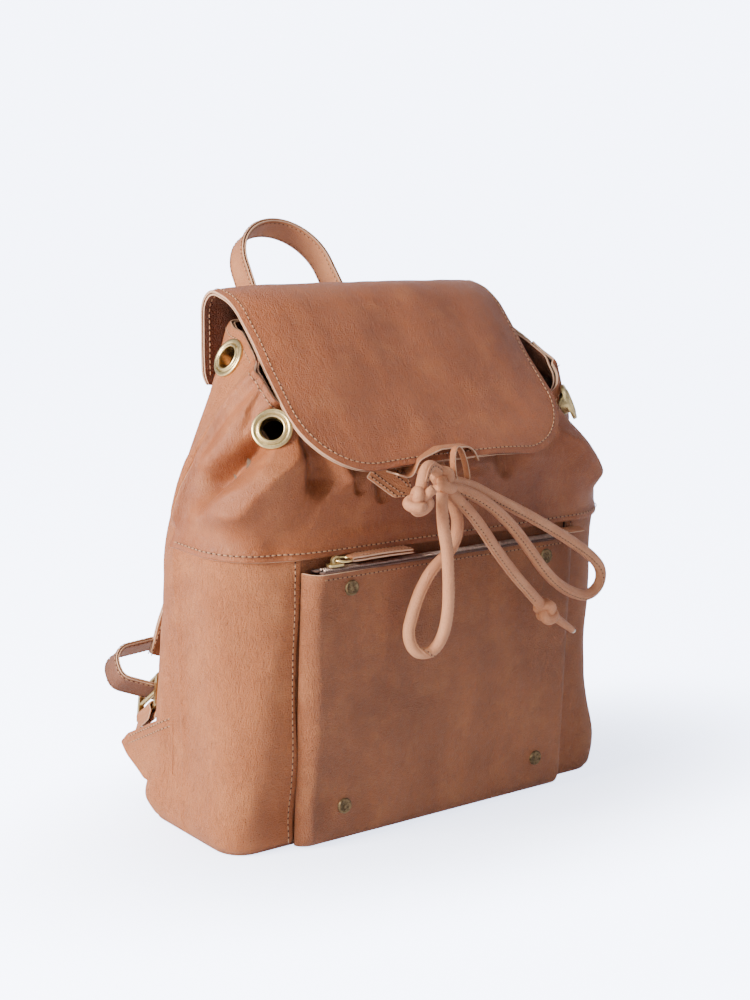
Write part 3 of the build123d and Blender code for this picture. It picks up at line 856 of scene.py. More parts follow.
def rim_height(q_share):
    """Height of the rim at a share of the way from the front's middle to the back's."""
    if not RIM_HEIGHTS:
        for k in range(RIM_STEPS + 1):
            z = 262.0
            for _ in range(24):
                dims = section(z)
                y = wall_point(dims, k / RIM_STEPS * back_q(dims))[1]
                z = 0.5 * z + 0.5 * interpolate(RIM_LINE, y)
            RIM_HEIGHTS.append(z)
    place = min(RIM_STEPS - 1e-6, abs(q_share) * RIM_STEPS)
    low = int(place)
    return RIM_HEIGHTS[low] + (RIM_HEIGHTS[low + 1] - RIM_HEIGHTS[low]) * (place - low)


def seam_q(z, side, offset=0.0):
    """Where the side seam stands at a height; offset moves it towards the back."""
    dims = section(z)
    return side * (side_q(dims, seam_y(z)) + offset)


def panel(name, q_from, q_to, z_from, z_to, rows, columns, lift=0.0, edges=None):
    """A piece of wall leather between two lines q(z), from one height to another given by q's share."""

    def face(u, v):
        z = z_from + (z_to - z_from) * v
        q = q_from(z) + (q_to(z) - q_from(z)) * u
        rise = lift if edges is None else lift + edges(u, v)
        return wall_surface(q, z, rise)

    return sheet_mesh(name, face, WALL, rows, columns)


def build_lower_panels():
    """Front wrap panels and the centre panel behind the pocket."""
    left_seam = lambda z: -POCKET_SEAM_X + 0.8 * sin(z / 21)
    right_seam = lambda z: POCKET_SEAM_X + 0.6 * sin(z / 17)

    def welt(u, v):
        """The turned edge stands proud at the side seam."""
        return 1.5 * exp(-((u * 70) / 3.2) ** 2)

    # Painted light: the left wrap panel takes the lighter, lit copy of the leather
    mesh = panel("front_left", lambda z: seam_q(z, -1), left_seam, 0, 181, 76, 44, 0.4, welt)
    soft_piece("front_left_panel", mesh, "root", PAINTED_LIT_SHEET)

    def welt_right(u, v):
        return 1.5 * exp(-(((1 - u) * 70) / 3.2) ** 2)

    # Painted shade: the right wrap panel, the left one's mirror image, takes the darker copy
    mesh = panel("front_right", right_seam, lambda z: seam_q(z, 1), 0, 181, 76, 44, 0.4, welt_right)
    soft_piece("front_right_panel", mesh, "root", PAINTED_SHADE_SHEET)
    mesh = panel("front_centre", left_seam, right_seam, 0, 181, 60, 48, -1.2)
    soft_piece("front_centre_panel", mesh, "root", PAINTED_SHADE_SHEET)


def upper_face(q_share_at, z_low, overlap=0.0):
    """A face from a height up to the rim, between shares given by a function of (u, z)."""

    def face(u, v):
        share = q_share_at(u, 262.0)
        z = z_low
        for _ in range(6):
            top = rim_height(share)
            z = z_low + (top - z_low) * v
            share = q_share_at(u, z)
        return wall_surface(share * back_q(section(z)), z, overlap)

    return face


def build_yoke():
    """The front of the gathered yoke, between the side seams, over the lower panels' top edge."""

    def share_at(u, z):
        dims = section(z)
        reach = side_q(dims, seam_y(z)) / back_q(dims)
        return -reach + 2 * reach * u

    def lift(u):
        edge = min(u, 1 - u) * 380
        return 1.3 * exp(-((edge / 3.4) ** 2))

    base = upper_face(share_at, SEAM_Z - 2.5)

    def face(u, v):
        point = base(u, v)
        dims = section(point.z)
        _, _, nx, ny = wall_point(dims, share_at(u, point.z) * back_q(dims))
        lap = 2.4 * (1 - smooth_step(0.0, 0.1, v)) + lift(u)
        return point + Vector((nx, ny, 0)) * lap

    mesh = sheet_mesh("yoke", face, WALL, 64, 190, skip=in_eyelet)
    soft_piece("yoke", mesh, "root", (YOKE_LEATHER, LINING, EDGE))


def build_back_panel():
    """The back panel, from the base to the rim and round both rear corners to the side seams."""
    cache = {}

    def top_for(u):
        key = round(u, 5)
        if key not in cache:
            dims = section(290.0)
            reach = side_q(dims, -6.0) / back_q(dims)
            share = reach + (1 - reach) * (1 - abs(2 * u - 1))
            cache[key] = rim_height(share)
        return cache[key]

    def face(u, v):
        z = top_for(u) * v
        dims = section(z)
        reach = side_q(dims, seam_y(z))
        total = 2 * (back_q(dims) - reach)
        q = reach + total * u
        if q > back_q(dims):
            q -= 2 * back_q(dims)
        return wall_surface(q, z)

    mesh = sheet_mesh("back_panel", face, WALL, 120, 150, skip=in_eyelet)
    soft_piece("back_panel", mesh, "root", PAINTED_LIT_SHEET)


def build_inside():
    """Cotton lining and the leather facing of the hem, seen when the flap is open."""

    def ring_face(inset, low, drop):
        def face(u, v):
            share = 2 * u - 1
            top = rim_height(abs(share)) - drop
            z = low(share) + (top - low(share)) * v
            dims = section(z)
            x, y, nx, ny = wall_point(dims, share * back_q(dims))
            out = relief(Vector((x, y, z))) - inset
            return Vector((x + nx * out, y + ny * out, z))

        return face

    hem = ring_face(WALL + 0.5, lambda share: rim_height(abs(share)) - 27, 0.6)
    facing = sheet_mesh("hem_facing", hem, 1.5, 10, 180, True, skip=in_eyelet)
    soft_piece("hem_facing", facing, "root", FACING_SHEET)
    walls = sheet_mesh("lining", ring_face(WALL + 2.6, lambda share: 6.5, 24), 0.8, 50, 120, True)
    piece("lining", walls, "root", (LINING, LINING, LINING))

    def floor(u, v):
        x = (2 * u - 1) * (BASE_SECTION[0] - 6)
        bow = 1 - 0.02 * abs(2 * u - 1) ** 8
        return Vector((x, ((2 * v - 1) * 42 * bow) - 1, 6.6 + 0.5 * noise.noise(Vector((x / 30, v * 3, 0)))))

    bottom = sheet_mesh("lining_floor", floor, 0.8, 12, 30, normal_side=1)
    piece("lining_floor", bottom, "root", (LINING, LINING, LINING))


def build_base():
    """The leather base, turned up a little at its edge."""

    def under(u, v):
        angle = 2 * pi * u
        dims = section(2.0)
        q = (2 * u - 1) * back_q(dims)
        x, y, nx, ny = wall_point(dims, q)
        if v <= 0.5:
            share = v / 0.5
            edge = Vector((x - nx * 4.4, y - ny * 4.4, 0.0))
            return Vector((edge.x * share, edge.y * share, 0.25 + 0.25 * sin(angle * 3) * (1 - share)))
        inset = 1.2 + 3.2 * (1 - v)
        return Vector((x - nx * inset, y - ny * inset, 2.6 * (v - 0.5) / 0.5))

    mesh = sheet_mesh("base_panel", under, 1.8, 12, 160, True, 1)
    soft_piece("base_panel", mesh, "root", PAINTED_SHADE_SHEET)


build_lower_panels()
build_yoke()
build_back_panel()
build_inside()
build_base()

# ---------------------------------------------------------------------------------------------
# Stitch rows and hardware of the walls
# ---------------------------------------------------------------------------------------------


def wall_row(stitches, spots, lift, pitch=3.6):
    """A stitch row over wall spots (q, z), following the leather."""
    points = []
    normals = []
    for q, z in spots:
        _, _, nx, ny = wall_point(section(z), q)
        points.append(wall_surface(q, z, lift))
        normals.append(Vector((nx, ny, 0.15)))
    stitches.row(points, normals, pitch)


def build_wall_stitches():
    """Rows over the yoke seam, beside the pocket and along the rim."""
    stitches = Stitches()
    z = SEAM_Z + 1.4
    reach = side_q(section(z), 14.0) - 3
    wall_row(stitches, [(-reach + 2 * reach * k / 240, z) for k in range(241)], 2.3)
    for side in (-1, 1):
        spots = [(side * (POCKET_SEAM_X + 3.4), 3 + 172 * k / 120) for k in range(121)]
        wall_row(stitches, spots, 0.6, 3.9)
    share_seam = side_q(section(285.0), -6.0) / back_q(section(285.0))
    for low, high, lift in ((-share_seam + 0.012, share_seam - 0.012, 0.2), (share_seam, 1.0, 0.1)):
        for side in (-1, 1) if high == 1.0 else (1,):
            spots = []
            for k in range(161):
                share = low + (high - low) * k / 160
                height = rim_height(abs(share)) - 5.0
                spots.append((side * share * back_q(section(height)), height))
            wall_row(stitches, spots, lift)
    stitches.make("wall_stitches", "root")


def build_eyelets():
    """Stepped brass rings: a rolled inner lip, a groove and a domed flange."""
    points, faces, marks = [], [], []
    lip = [(6.9, -6.0), (6.8, 1.2)]
    lip += [(7.75 - 0.95 * cos(a * pi / 8), 1.6 + 1.0 * sin(a * pi / 8)) for a in range(0, 8)]
    flange = [(8.9, 1.25), (9.3, 1.3)]
    flange += [(10.65 - 1.35 * cos(a * pi / 8), 1.2 + 0.75 * sin(a * pi / 8)) for a in range(1, 8)]
    flange += [(12.0, 0.9), (12.0, -0.6)]
    for plane in EYELETS:
        lathe(points, faces, marks, plane, lip + flange, 0, 56)
    mesh = mesh_from("eyelet_faces", points, faces, marks)
    piece("eyelet_faces", mesh, "root", (BRASS,))


RIVET_X = (-77.5, 77.5)
RIVET_Z = (24.0, 158.0)


def build_rivets():
    """Antique caps with a raised rim, a ring of small beads and a low dome."""
    points, faces, marks = [], [], []
    beads = Stitches()
    rim = ((4.8, 0), (4.6, 1.25), (4.1, 1.6), (3.5, 1.5))
    dome = ((3.1, 1.1), (1.5, 1.15), (1.0, 1.45), (0.01, 1.55))
    front = Vector((0, -1, 0))
    for x in RIVET_X:
        for z in RIVET_Z:
            centre = Vector((x, POCKET_FACE_Y, z))
            plane = (centre, Vector((1, 0, 0)), Vector((0, 0, 1)), Vector((0, -1, 0)))
            lathe(points, faces, marks, plane, rim + dome, 0, 40)
            for k in range(8):
                angle = pi * 2 * k / 8
                out = Vector((cos(angle), 0, sin(angle)))
                beads.bead(centre + out * 2.35 + front * 1.1, out, front, 0.62, 0.42, 0.4, 0)
    first = len(points)
    points += beads.points
    faces += [tuple(first + k for k in face) for face in beads.faces]
    marks += beads.marks
    mesh = mesh_from("rivet_caps", points, faces, marks)
    piece("rivet_caps", mesh, "root", (ANTIQUE,))


# ---------------------------------------------------------------------------------------------
# Front pocket and its zip
# ---------------------------------------------------------------------------------------------

POCKET_HALF = 106.0
POCKET_TOP = 168.0
POCKET_FACE_Y = -62.0
POCKET_EDGE = 9.0


def pocket_point(x, z):
    """The pocket's outer face: it rises from its seams, puckers and sags a little."""
    side = min(1.0, (POCKET_HALF - abs(x)) / POCKET_EDGE)
    foot = min(1.0, z / 12.0)
    rise = sqrt(max(0.0, 1 - (1 - side) ** 2)) * (0.35 + 0.65 * sqrt(max(0.0, 1 - (1 - foot) ** 2)))
    drape = noise.noise(Vector((x / 26, 3.0, z / 60))) * 1.1 + noise.noise(Vector((x / 9, 7.0, z / 34))) * 0.4
    corner = 2.4 * exp(-(((x + 92) / 9) ** 2) - ((z - 20) / 22) ** 2)
    gape = 1.6 * exp(-(((x + 88) / 20) ** 2)) * smooth_step(150, 168, z)
    mouth = -1.2 * exp(-(((x - 10) / 60) ** 2)) * smooth_step(140, 168, z)
    depth = 11.4 * rise + (drape - corner + gape + mouth) * side * foot
    for spot_x in RIVET_X:
        for spot_z in RIVET_Z:
            near = exp(-(((x - spot_x) / 8) ** 2) - ((z - spot_z) / 8) ** 2)
            depth = depth * (1 - near) + 12.0 * near
    return Vector((x, -50.4 - depth, z))


def edge_packed(u, edge_share=0.14, edge_length=0.06):
    """Shares packed closer together near both ends."""
    if u < edge_share:
        return edge_length * (u / edge_share) ** 1.6
    if u > 1 - edge_share:
        return 1 - edge_length * ((1 - u) / edge_share) ** 1.6
    return edge_length + (1 - 2 * edge_length) * (u - edge_share) / (1 - 2 * edge_share)


def build_pocket():
    """The pocket front and its stitching."""

    def face(u, v):
        x = (2 * edge_packed(u) - 1) * POCKET_HALF
        z = 1.0 + (POCKET_TOP - 1.0) * (v**1.15)
        return pocket_point(x, z)

    mesh = sheet_mesh("pocket_front", face, 2.0, 80, 110)
    soft_piece("pocket_front", mesh, "root", PAINTED_SHADE_SHEET)
    stitches = Stitches()
    spots = [-98 + 196 * k / 150 for k in range(151)]
    rim = [pocket_point(x, POCKET_TOP - 3.2) + Vector((0, -0.15, 0)) for x in spots]
    stitches.row(rim, [Vector((0, -1, 0))] * len(rim), 3.4, 0.34)
    stitches.make("pocket_stitches", "root")


def build_zip():
    """Tapes, coil rows, pull strap and end tab; the slider and its ring stay as they are."""
    rows = Stitches()
    for name, low, high in (("upper", -55.8, -50.2), ("lower", -61.6, -58.2)):

        def tape(u, v, low=low, high=high):
            x = -98 + 196 * u
            y = low + (high - low) * v
            return Vector((x, y, 169.0 + 0.15 * sin(x / 7) - 0.4 * (v if low > -57 else 1 - v)))

        mesh = sheet_mesh(f"zip_tape_{name}", tape, 0.8, 4, 120)
        piece(f"zip_tape_{name}", mesh, "root", (TAPE, TAPE, TAPE))
    for name, centre in (("upper", -55.2), ("lower", -58.8)):
        coil = Stitches()
        for k in range(118):
            x = -95 + 191 * k / 117
            lean = 0.18 if name == "upper" else -0.18
            coil.bead(Vector((x, centre, 169.6)), Vector((lean, 1, 0)), Vector((0, 0, 1)), 1.3, 0.58, 0.95, 0)
        mesh = mesh_from(f"zip_coil_{name}", coil.points, coil.faces, coil.marks)
        piece(f"zip_coil_{name}", mesh, "root", (COIL,))

    turn_x, bail_z = -76.5, 174.2

    def hairpin(u, v):
        """Two layers of the pull, folded round the ring's far side."""
        length = 46.0
        bend = 2.1
        across = (v - 0.5) * 9.0
        if u < 0.42:
            share = u / 0.42
            x, z = turn_x + length - (length - bend) * share, bail_z + 1.6 + 0.5 * sin(share * pi)
        elif u < 0.58:
            angle = (u - 0.42) / 0.16 * pi
            x, z = turn_x + bend - bend * sin(angle), bail_z + 1.6 * cos(angle)
        else:
            share = (u - 0.58) / 0.42
            x, z = turn_x + bend + (length - bend) * share, bail_z - 1.6 + 0.4 * sin(share * pi)
        pinch = 1 - 0.18 * exp(-(((x - turn_x) / 5) ** 2))
        return Vector((x, -57.0 + across * pinch, z))

    mesh = sheet_mesh("zip_pull_strap", hairpin, 1.4, 8, 60, normal_side=-1)
    soft_piece("zip_pull_strap", mesh, "zip_pull", STRAP_SHEET)
    for across in (-3.3, 3.3):
        line = [Vector((turn_x + 6 + 38 * k / 20, -57 + across, bail_z + 2.15)) for k in range(21)]
        rows.row(line, [Vector((0, 0, 1))] * 21, 2.6, 0.3, 0, 0.35)
    rows.make("zip_pull_stitches", "zip_pull")

    def tab(u, v):
        """A folded tab over the zip's right end."""
        angle = (v - 0.5) * 2.6
        x = 98.5 + 14.5 * u
        return Vector((x, -55.0 + 5.2 * sin(angle * 0.9), 168.4 + 2.3 * cos(angle) ** 0.5))

    mesh = sheet_mesh("zip_end_tab", tab, 1.5, 14, 12, normal_side=-1)
    soft_piece("zip_end_tab", mesh, "root", STRAP_SHEET)


# ---------------------------------------------------------------------------------------------
# Flap
# ---------------------------------------------------------------------------------------------


def rounded_line(points, radii, step=2.0):
    """A flat polyline with its corners rounded, as closely spaced points."""
    line = [Vector(points[0])]
    for before, here, after, radius in zip(points, points[1:], points[2:], radii):
        before, here, after = Vector(before), Vector(here), Vector(after)
        a, b = (before - here).normalized(), (after - here).normalized()
        half = acos(max(-1, min(1, a.dot(b)))) / 2
        cut = radius / tan(half)
        centre = here + (a + b).normalized() * radius / sin(half)
        start, end = here + a * cut, here + b * cut
        count = 12
        first, last = start - centre, end - centre
        sweep = acos(max(-1, min(1, first.dot(last) / radius**2)))
        for k in range(count + 1):
            share = k / count
            line.append(
                centre + (first * sin((1 - share) * sweep) + last * sin(share * sweep)) / max(sin(sweep), 1e-6)
            )
    line.append(Vector(points[-1]))
    dense = [spot for spot, _, _ in along([p.to_3d() if len(p) == 2 else p for p in line], step)]
    dense.append(line[-1].to_3d() if len(line[-1]) == 2 else line[-1])
    return dense


FLAP_PROFILE = rounded_line(((58.5, 262.0), (60.0, 324.0), (20.0, 324.0), (-72.0, 230.0)), (18.0, 34.0), 1.0)
FLAP_LENGTH = sum((b - a).length for a, b in zip(FLAP_PROFILE, FLAP_PROFILE[1:]))
FLAP_CORNERS = (48.0, 44.0)


def flap_spot(s):
    """Side-view place (y, z) and outward direction at a distance along the flap."""
    share = max(0.0, min(0.99999, s / FLAP_LENGTH)) * (len(FLAP_PROFILE) - 1)
    k = int(share)
    a, b = FLAP_PROFILE[k], FLAP_PROFILE[k + 1]
    here = a + (b - a) * (share - k)
    low, high = FLAP_PROFILE[max(0, k - 3)], FLAP_PROFILE[min(len(FLAP_PROFILE) - 1, k + 4)]
    run = (high - low).normalized()
    return here.x, here.y, run.y, -run.x


def flap_limits(s, inset=0.0):
    """The flap's left and right edges at a distance along it."""
    share = s / FLAP_LENGTH
    limits = []
    for side, start, end, radius in ((-1, 104.0, 112.0, FLAP_CORNERS[0]), (1, 104.0, 95.0, FLAP_CORNERS[1])):
        reach = start + (end - start) * share - inset
        round_start = FLAP_LENGTH - radius
        bend = radius - inset
        if s > round_start:
            reach -= bend - sqrt(max(0.0, bend**2 - min(bend, s - round_start) ** 2))
        tip = 9.0
        if s < tip:
            reach -= (tip - s) ** 2 / tip * 0.35
        limits.append(side * reach)
    return limits


def flap_point(x, s, lift=0.0):
    """A point over the flap's upper face, with the dip of its sides and the wave of its edge."""
    y, z, ny, nz = flap_spot(s)
    left, right = flap_limits(s)
    share = s / FLAP_LENGTH
    drop = 0.0
    for edge, amount in ((left, 7.0), (right, 9.0)):
        near = max(0.0, 1 - abs(x - edge) / 46.0)
        drop += amount * near**2 * smooth_step(0.22, 0.45, share) * (1 - 0.6 * smooth_step(0.6, 0.85, share))
    wave = 0.7 * sin(x / 30 + 1.0) * smooth_step(0.75, 1.0, share)
    soft = noise.noise(Vector((x / 38, s / 38, 5))) * 1.3 + noise.noise(Vector((x / 14, s / 20, 9))) * 0.35
    lift += wave + soft - drop + 2.2 * smooth_step(0.3, 0.6, share) * (1 - smooth_step(0.6, 0.95, share))
    return Vector((x, y + ny * lift, z + nz * lift))


def build_flap():
    """The flap's two layers and their stitch rows."""

    def layer(inset, lift):
        def face(u, v):
            s = FLAP_LENGTH * (1 - (1 - v) ** 1.35) - inset * v
            left, right = flap_limits(s, inset)
            return flap_point(left + (right - left) * edge_packed(u, 0.12, 0.05), s, lift)

        return face

    outer = sheet_mesh("flap_outer", layer(0.0, 0.0), 1.8, 110, 110, normal_side=-1)
    soft_piece("flap_outer", outer, "flap", (FLAP_LEATHER, DARK_EDGE, EDGE))
    lining = sheet_mesh("flap_lining", layer(0.5, -2.0), 1.4, 80, 80, normal_side=-1)
    soft_piece("flap_lining", lining, "flap", FACING_SHEET)
    stitches = Stitches()
    inset = 4.2
    border = []
    for k in range(200):
        s = 6 + (FLAP_LENGTH - inset - 6) * sin(k / 199 * pi / 2)
        border.append((flap_limits(s, inset)[0], s))
    left, right = flap_limits(FLAP_LENGTH - inset, inset)
    border += [(left + (right - left) * k / 60, FLAP_LENGTH - inset) for k in range(1, 60)]
    for k in range(200):
        s = 6 + (FLAP_LENGTH - inset - 6) * sin((199 - k) / 199 * pi / 2)
        border.append((flap_limits(s, inset)[1], s))
    top = [flap_point(x, s, 0.15) for x, s in border]
    out = []
    for x, s in border:
        _, _, ny, nz = flap_spot(s)
        out.append(Vector((0, ny, nz)))
    stitches.row(top, out, 3.5)
    under = [flap_point(x, s, -3.65) for x, s in border]
    stitches.row(under, [-n for n in out], 3.5)
    stitches.make("flap_stitches", "flap")


# ---------------------------------------------------------------------------------------------
# Straps
# ---------------------------------------------------------------------------------------------


def ribbon(name, centres, widths, width, thickness, offset, rows=4, taper=None):
    """A strap layer: centres and width directions along it, lifted by offset from its middle."""
    count = len(centres)
    normals = []
    for k in range(count):
        run = (centres[min(k + 1, count - 1)] - centres[max(k - 1, 0)]).normalized()
        normals.append(run.cross(widths[k]).normalized())

    def face(u, v):
        k = min(count - 1, round(u * (count - 1)))
        half = width / 2 * (1 if taper is None else taper(u))
        crown = 0.35 * (1 - (2 * v - 1) ** 2)
        return centres[k] + widths[k] * (2 * v - 1) * half + normals[k] * (offset + thickness + crown)

    return sheet_mesh(name, face, thickness, rows, count - 1), normals


def ribbon_rows(stitches, centres, widths, normals, inset, lift, pitch=3.3):
    """Stitch rows beside both edges of a strap, on the side where lift is positive."""
    for side in (-1, 1):
        line = [c + w * side * inset + n * lift for c, w, n in zip(centres, widths, normals)]
        facing = [n if lift > 0 else -n for n in normals]
        stitches.row(line, facing, pitch, 0.36)


def build_handle():
    """The haul handle: a two-layer strap that twists out of the flap's seam and arches over."""
    lean = radians(38.0)
    rise = Vector((0, sin(lean), cos(lean)))
    normal = Vector((0, -cos(lean), sin(lean)))
    radius, straight, middle_x = 34.0, 80.0, -5.0
    flat_until, turned_from = 20.0, 62.0
    centres = []
    widths = []
    legs = [2 + (straight - 2) * k / 40 for k in range(40)]
    path = [(-radius, s, s) for s in legs]
    path += [
        (-radius * cos(a * pi / 36), straight + radius * sin(a * pi / 36), straight + 1) for a in range(37)
    ]
    path += [(radius, s, s) for s in reversed(legs)]
    for x, along_rise, reach in path:
        turn = smooth_step(flat_until, turned_from, reach) * pi / 2
        side = Vector((1, 0, 0)) * cos(turn) * (-1 if x > 0 and reach < straight else 1) + normal * sin(turn)
        bow = 2.0 * sin(pi * min(1.0, reach / straight)) * (1 if x > 0 else -1)
        centres.append(Vector((middle_x + x + bow, 65.0, 262.0)) + rise * along_rise)
        widths.append(side.normalized())
    outer, normals = ribbon("handle_outer", centres, widths, 20.0, 1.7, 0.1, 6)
    inner, _ = ribbon("handle_lining", centres, widths, 19.4, 1.4, -1.55, 6)
    soft_piece("handle_outer", outer, "handle", STRAP_SHEET)
    soft_piece("handle_lining", inner, "handle", STRAP_SHEET)
    stitches = Stitches()
    ribbon_rows(stitches, centres, widths, normals, 7.6, 2.05)
    ribbon_rows(stitches, centres, widths, normals, 7.6, -1.65)
    stitches.make("handle_stitches", "handle")


def build_back_straps():
    """Shoulder straps, tail straps and wings, drawn for one side and mirrored."""
    rise = Vector((0, 0.63, 0.7766))
    tilt = radians(25.0)
    pitch = 10.0
    for side, sign in (("left", -1), ("right", 1)):
        inward = Vector((-sign, 0, 0))
        spot = Vector((sign * 138.0, 61.0, 68.0))
        across = inward.cross(rise).normalized()
        slot = (pitch * sin(tilt) / 2, pitch * cos(tilt) / 2)
        local = [
            (slot[0] + 9 * cos(tilt), slot[1] - 9 * sin(tilt)),
            (-18, slot[1] + (18 + slot[0]) * tan(tilt)),
            (-18, 33),
            (26, 36),
        ]
        line = rounded_line(local, (8.0, 12.0), 1.6)
        centres = [spot + inward * p.x + rise * p.y for p in line]
        widths = [across] * len(centres)
        outer, normals = ribbon("strap", centres, widths, 20.0, 1.3, 0.05, 4)
        inner, _ = ribbon("strap", centres, widths, 19.6, 1.2, -1.25, 4)
        body = f"strap_{side}"
        soft_piece(f"shoulder_strap_end_{side}", outer, body, STRAP_SHEET)
        turned = (STRAP_LEATHER, LINING_LEATHER, EDGE)
        soft_piece(f"shoulder_strap_end_back_{side}", inner, body, turned)
        stitches = Stitches()
        ribbon_rows(stitches, centres, widths, normals, 7.8, 1.6)
        ribbon_rows(stitches, centres, widths, normals, 7.8, -1.35)

        top = Vector((sign * 62.0, 63.0, 256.0))
        bottom = Vector((sign * 120.0, 76.0, 88.0))
        steps = 60
        run = (bottom - top).normalized()
        band_side = Vector((1, 0, 0))
        band_side = (band_side - run * band_side.dot(run)).normalized()
        bows = [Vector((0, sin(pi * k / steps), 0)) for k in range(steps + 1)]
        band = [top + (bottom - top) * k / steps + bow for k, bow in enumerate(bows)]
        band_widths = [band_side] * len(band)
        narrow = lambda u: 1.0 - 0.16 * smooth_step(0.86, 1.0, u)
        face, band_normals = ribbon("band", band, band_widths, 24.0, 1.6, 0.15, 6, narrow)
        under, _ = ribbon("band", band, band_widths, 23.6, 1.5, -1.55, 6, narrow)
        soft_piece(f"shoulder_strap_{side}", face, body, STRAP_SHEET)
        soft_piece(f"shoulder_strap_back_{side}", under, body, STRAP_SHEET)
        ribbon_rows(stitches, band, band_widths, band_normals, 9.2, 2.1)
        ribbon_rows(stitches, band, band_widths, band_normals, 9.2, -1.7)
        stitches.make(f"shoulder_strap_stitches_{side}", body)

        bar = Vector((-pitch * sin(tilt), -pitch * cos(tilt)))
        loop = [Vector((-11.4, -16.6)), Vector((-8.5, -12.5))]
        loop += [bar + Vector((-cos(a * pi / 10 - 0.5), sin(a * pi / 10 - 0.5))) * 3.4 for a in range(0, 14)]
        loop += [Vector((-4.6, -13.5)), Vector((-7.2, -17.6))]
        tail = [spot + inward * p.x + rise * p.y for p in loop]
        fold = [a for a, _, _ in along(tail, 1.0)]
        tail_mesh, _ = ribbon("tail", fold, [across] * len(fold), 20.0, 1.5, -0.75, 6)
        soft_piece(f"tail_strap_{side}", tail_mesh, "root", STRAP_SHEET)
        more = Stitches()
        upper = ((14.0, 73.0), (62.0, 47.5), (68.5, 40.5))
        lower = ((14.0, 22.0), (44.0, 23.5), (62.0, 33.0), (68.5, 39.5))

        def wing(u, v):
            y = 14.0 + 54.5 * edge_packed(u, 0.2, 0.08)
            high = interpolate(upper, y)
            low = interpolate(lower, y)
            z = low + (high - low) * v
            stand = 150.4 + 2.3 + 0.5 * noise.noise(Vector((y / 12, z / 12, sign)))
            wall_gap = 2.4 * (1 - smooth_step(14, 26, y))
            away = 2.6 * smooth_step(46, 68, y)
            return Vector((sign * (stand - wall_gap + away * 0.2), y, z))

        mesh = sheet_mesh(f"strap_wing_{side}", wing, 2.2, 24, 40, normal_side=sign)
        soft_piece(f"strap_wing_{side}", mesh, "root", (PAINTED_LIT_LEATHER, PAINTED_LIT_LEATHER, EDGE))
        for drop in (2.6, 7.2):
            line = []
            for k in range(30):
                y = 16 + 46 * k / 29
                high = interpolate(upper, y)
                stand = 150.4 + 2.3 + 0.5 * noise.noise(Vector((y / 12, (high - drop) / 12, sign)))
                line.append(Vector((sign * (stand + 0.2 - 2.4 * (1 - smooth_step(14, 26, y))), y, high - drop)))
            more.row(line, [Vector((sign, 0, 0))] * 30, 3.2)
        more.make(f"wing_stitches_{side}", "root")


def build_seam_strip():
    """The strip that carries the flap, the handle and the shoulder straps."""
    line = rounded_line(((50.6, 236.6), (57.2, 239.0), (57.2, 257.0), (52.0, 259.6)), (2.5, 2.5), 1.0)

    def face(u, v):
        k = min(len(line) - 1, round(v * (len(line) - 1)))
        return Vector((-95 + 190 * u, line[k].x, line[k].y))

    mesh = sheet_mesh("back_seam_strip", face, 1.6, len(line) - 1, 60, normal_side=-1)
    soft_piece("back_seam_strip", mesh, "root", (YOKE_LEATHER, YOKE_LEATHER, EDGE))
    stitches = Stitches()
    for z in (241.5, 254.5):
        row = [Vector((-92 + 184 * k / 40, 57.35, z)) for k in range(41)]
        stitches.row(row, [Vector((0, 1, 0))] * 41, 3.5)
    stitches.make("back_seam_stitches", "root")


# ---------------------------------------------------------------------------------------------
# Drawcord, loops and knots
# ---------------------------------------------------------------------------------------------

CORD_RADIUS = 0.0036
CORD_SURFACE = 3.6  # the same in millimetres
KNOT_RADIUS = 3.3  # the cord is squeezed in its knots

# Control points of the cords, in millimetres

DRAWCORD_ROUTE = (
    (-29, -73, 221), (-39, -59, 232), (-41, -35, 233), (-62, -29, 243), (-86, -19, 254),
    (-100, -2, 268), (-99, 18, 283), (-80, 33, 289), (-42, 38, 287), (2, 35, 290),
    (46, 38, 287), (81, 31, 288), (98, 16, 282), (99, -4, 267), (84, -20, 253),
    (50, -29, 243), (12, -30, 236), (-11, -37, 233), (-13, -59, 232), (-22, -73, 221),
)
LOOP_LEFT_ROUTE = (
    (-26, -80, 219), (-14, -77, 204), (-8, -75, 188), (-12, -73, 174), (-25, -72, 165),
    (-34, -72, 152), (-40, -73, 139), (-44, -74, 127), (-40, -77, 116), (-28, -79, 115),
    (-22, -82, 126), (-22, -85, 144), (-24, -86, 163), (-27, -87, 181), (-32, -87, 198),
    (-29, -83, 213),
)
LOOP_RIGHT_ROUTE = (
    (-26, -80, 220), (-6, -78, 216), (14, -77, 206), (38, -76, 195), (62, -75, 183),
    (86, -74, 170), (106, -73, 158), (117, -73, 148), (117, -73, 137), (106, -74, 131),
    (93, -76, 134), (76, -78, 142), (59, -80, 155), (43, -82, 172), (26, -83, 189),
    (6, -84, 204), (-12, -83, 213), (-26, -81, 217),
)
TAIL_RIGHT_ROUTE = (
    (-26, -81, 217), (-15, -87, 205), (-2, -87, 192), (14, -85, 174), (32, -83, 156),
    (48, -81, 142), (62, -79, 130),
)
TAIL_LEFT_ROUTE = (
    (-21, -77, 213), (-28, -79, 224), (-38, -81, 231), (-47, -86, 226), (-51, -89, 214),
)


def cord_curve(name, route):
    """A cord as one open NURBS spline with its route as control points, and the line it follows, in mm."""
    curve = bpy.data.curves.new(name, "CURVE")
    curve.dimensions = "3D"
    curve.resolution_u = 10
    curve.bevel_depth = CORD_RADIUS
    curve.bevel_resolution = 5
    curve.use_fill_caps = True
    spline = curve.splines.new("NURBS")
    spline.points.add(len(route) - 1)
    for spot, point in zip(spline.points, route):
        spot.co = (*(c * MM for c in point), 1)
    spline.order_u = 3
    spline.use_endpoint_u = True
    curve.materials.append(CORD_LEATHER)
    item = bpy.data.objects.new(name, curve)
    bpy.context.collection.objects.link(item)
    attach(item, "root")
    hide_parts(name)
    return item, smooth_path(route)


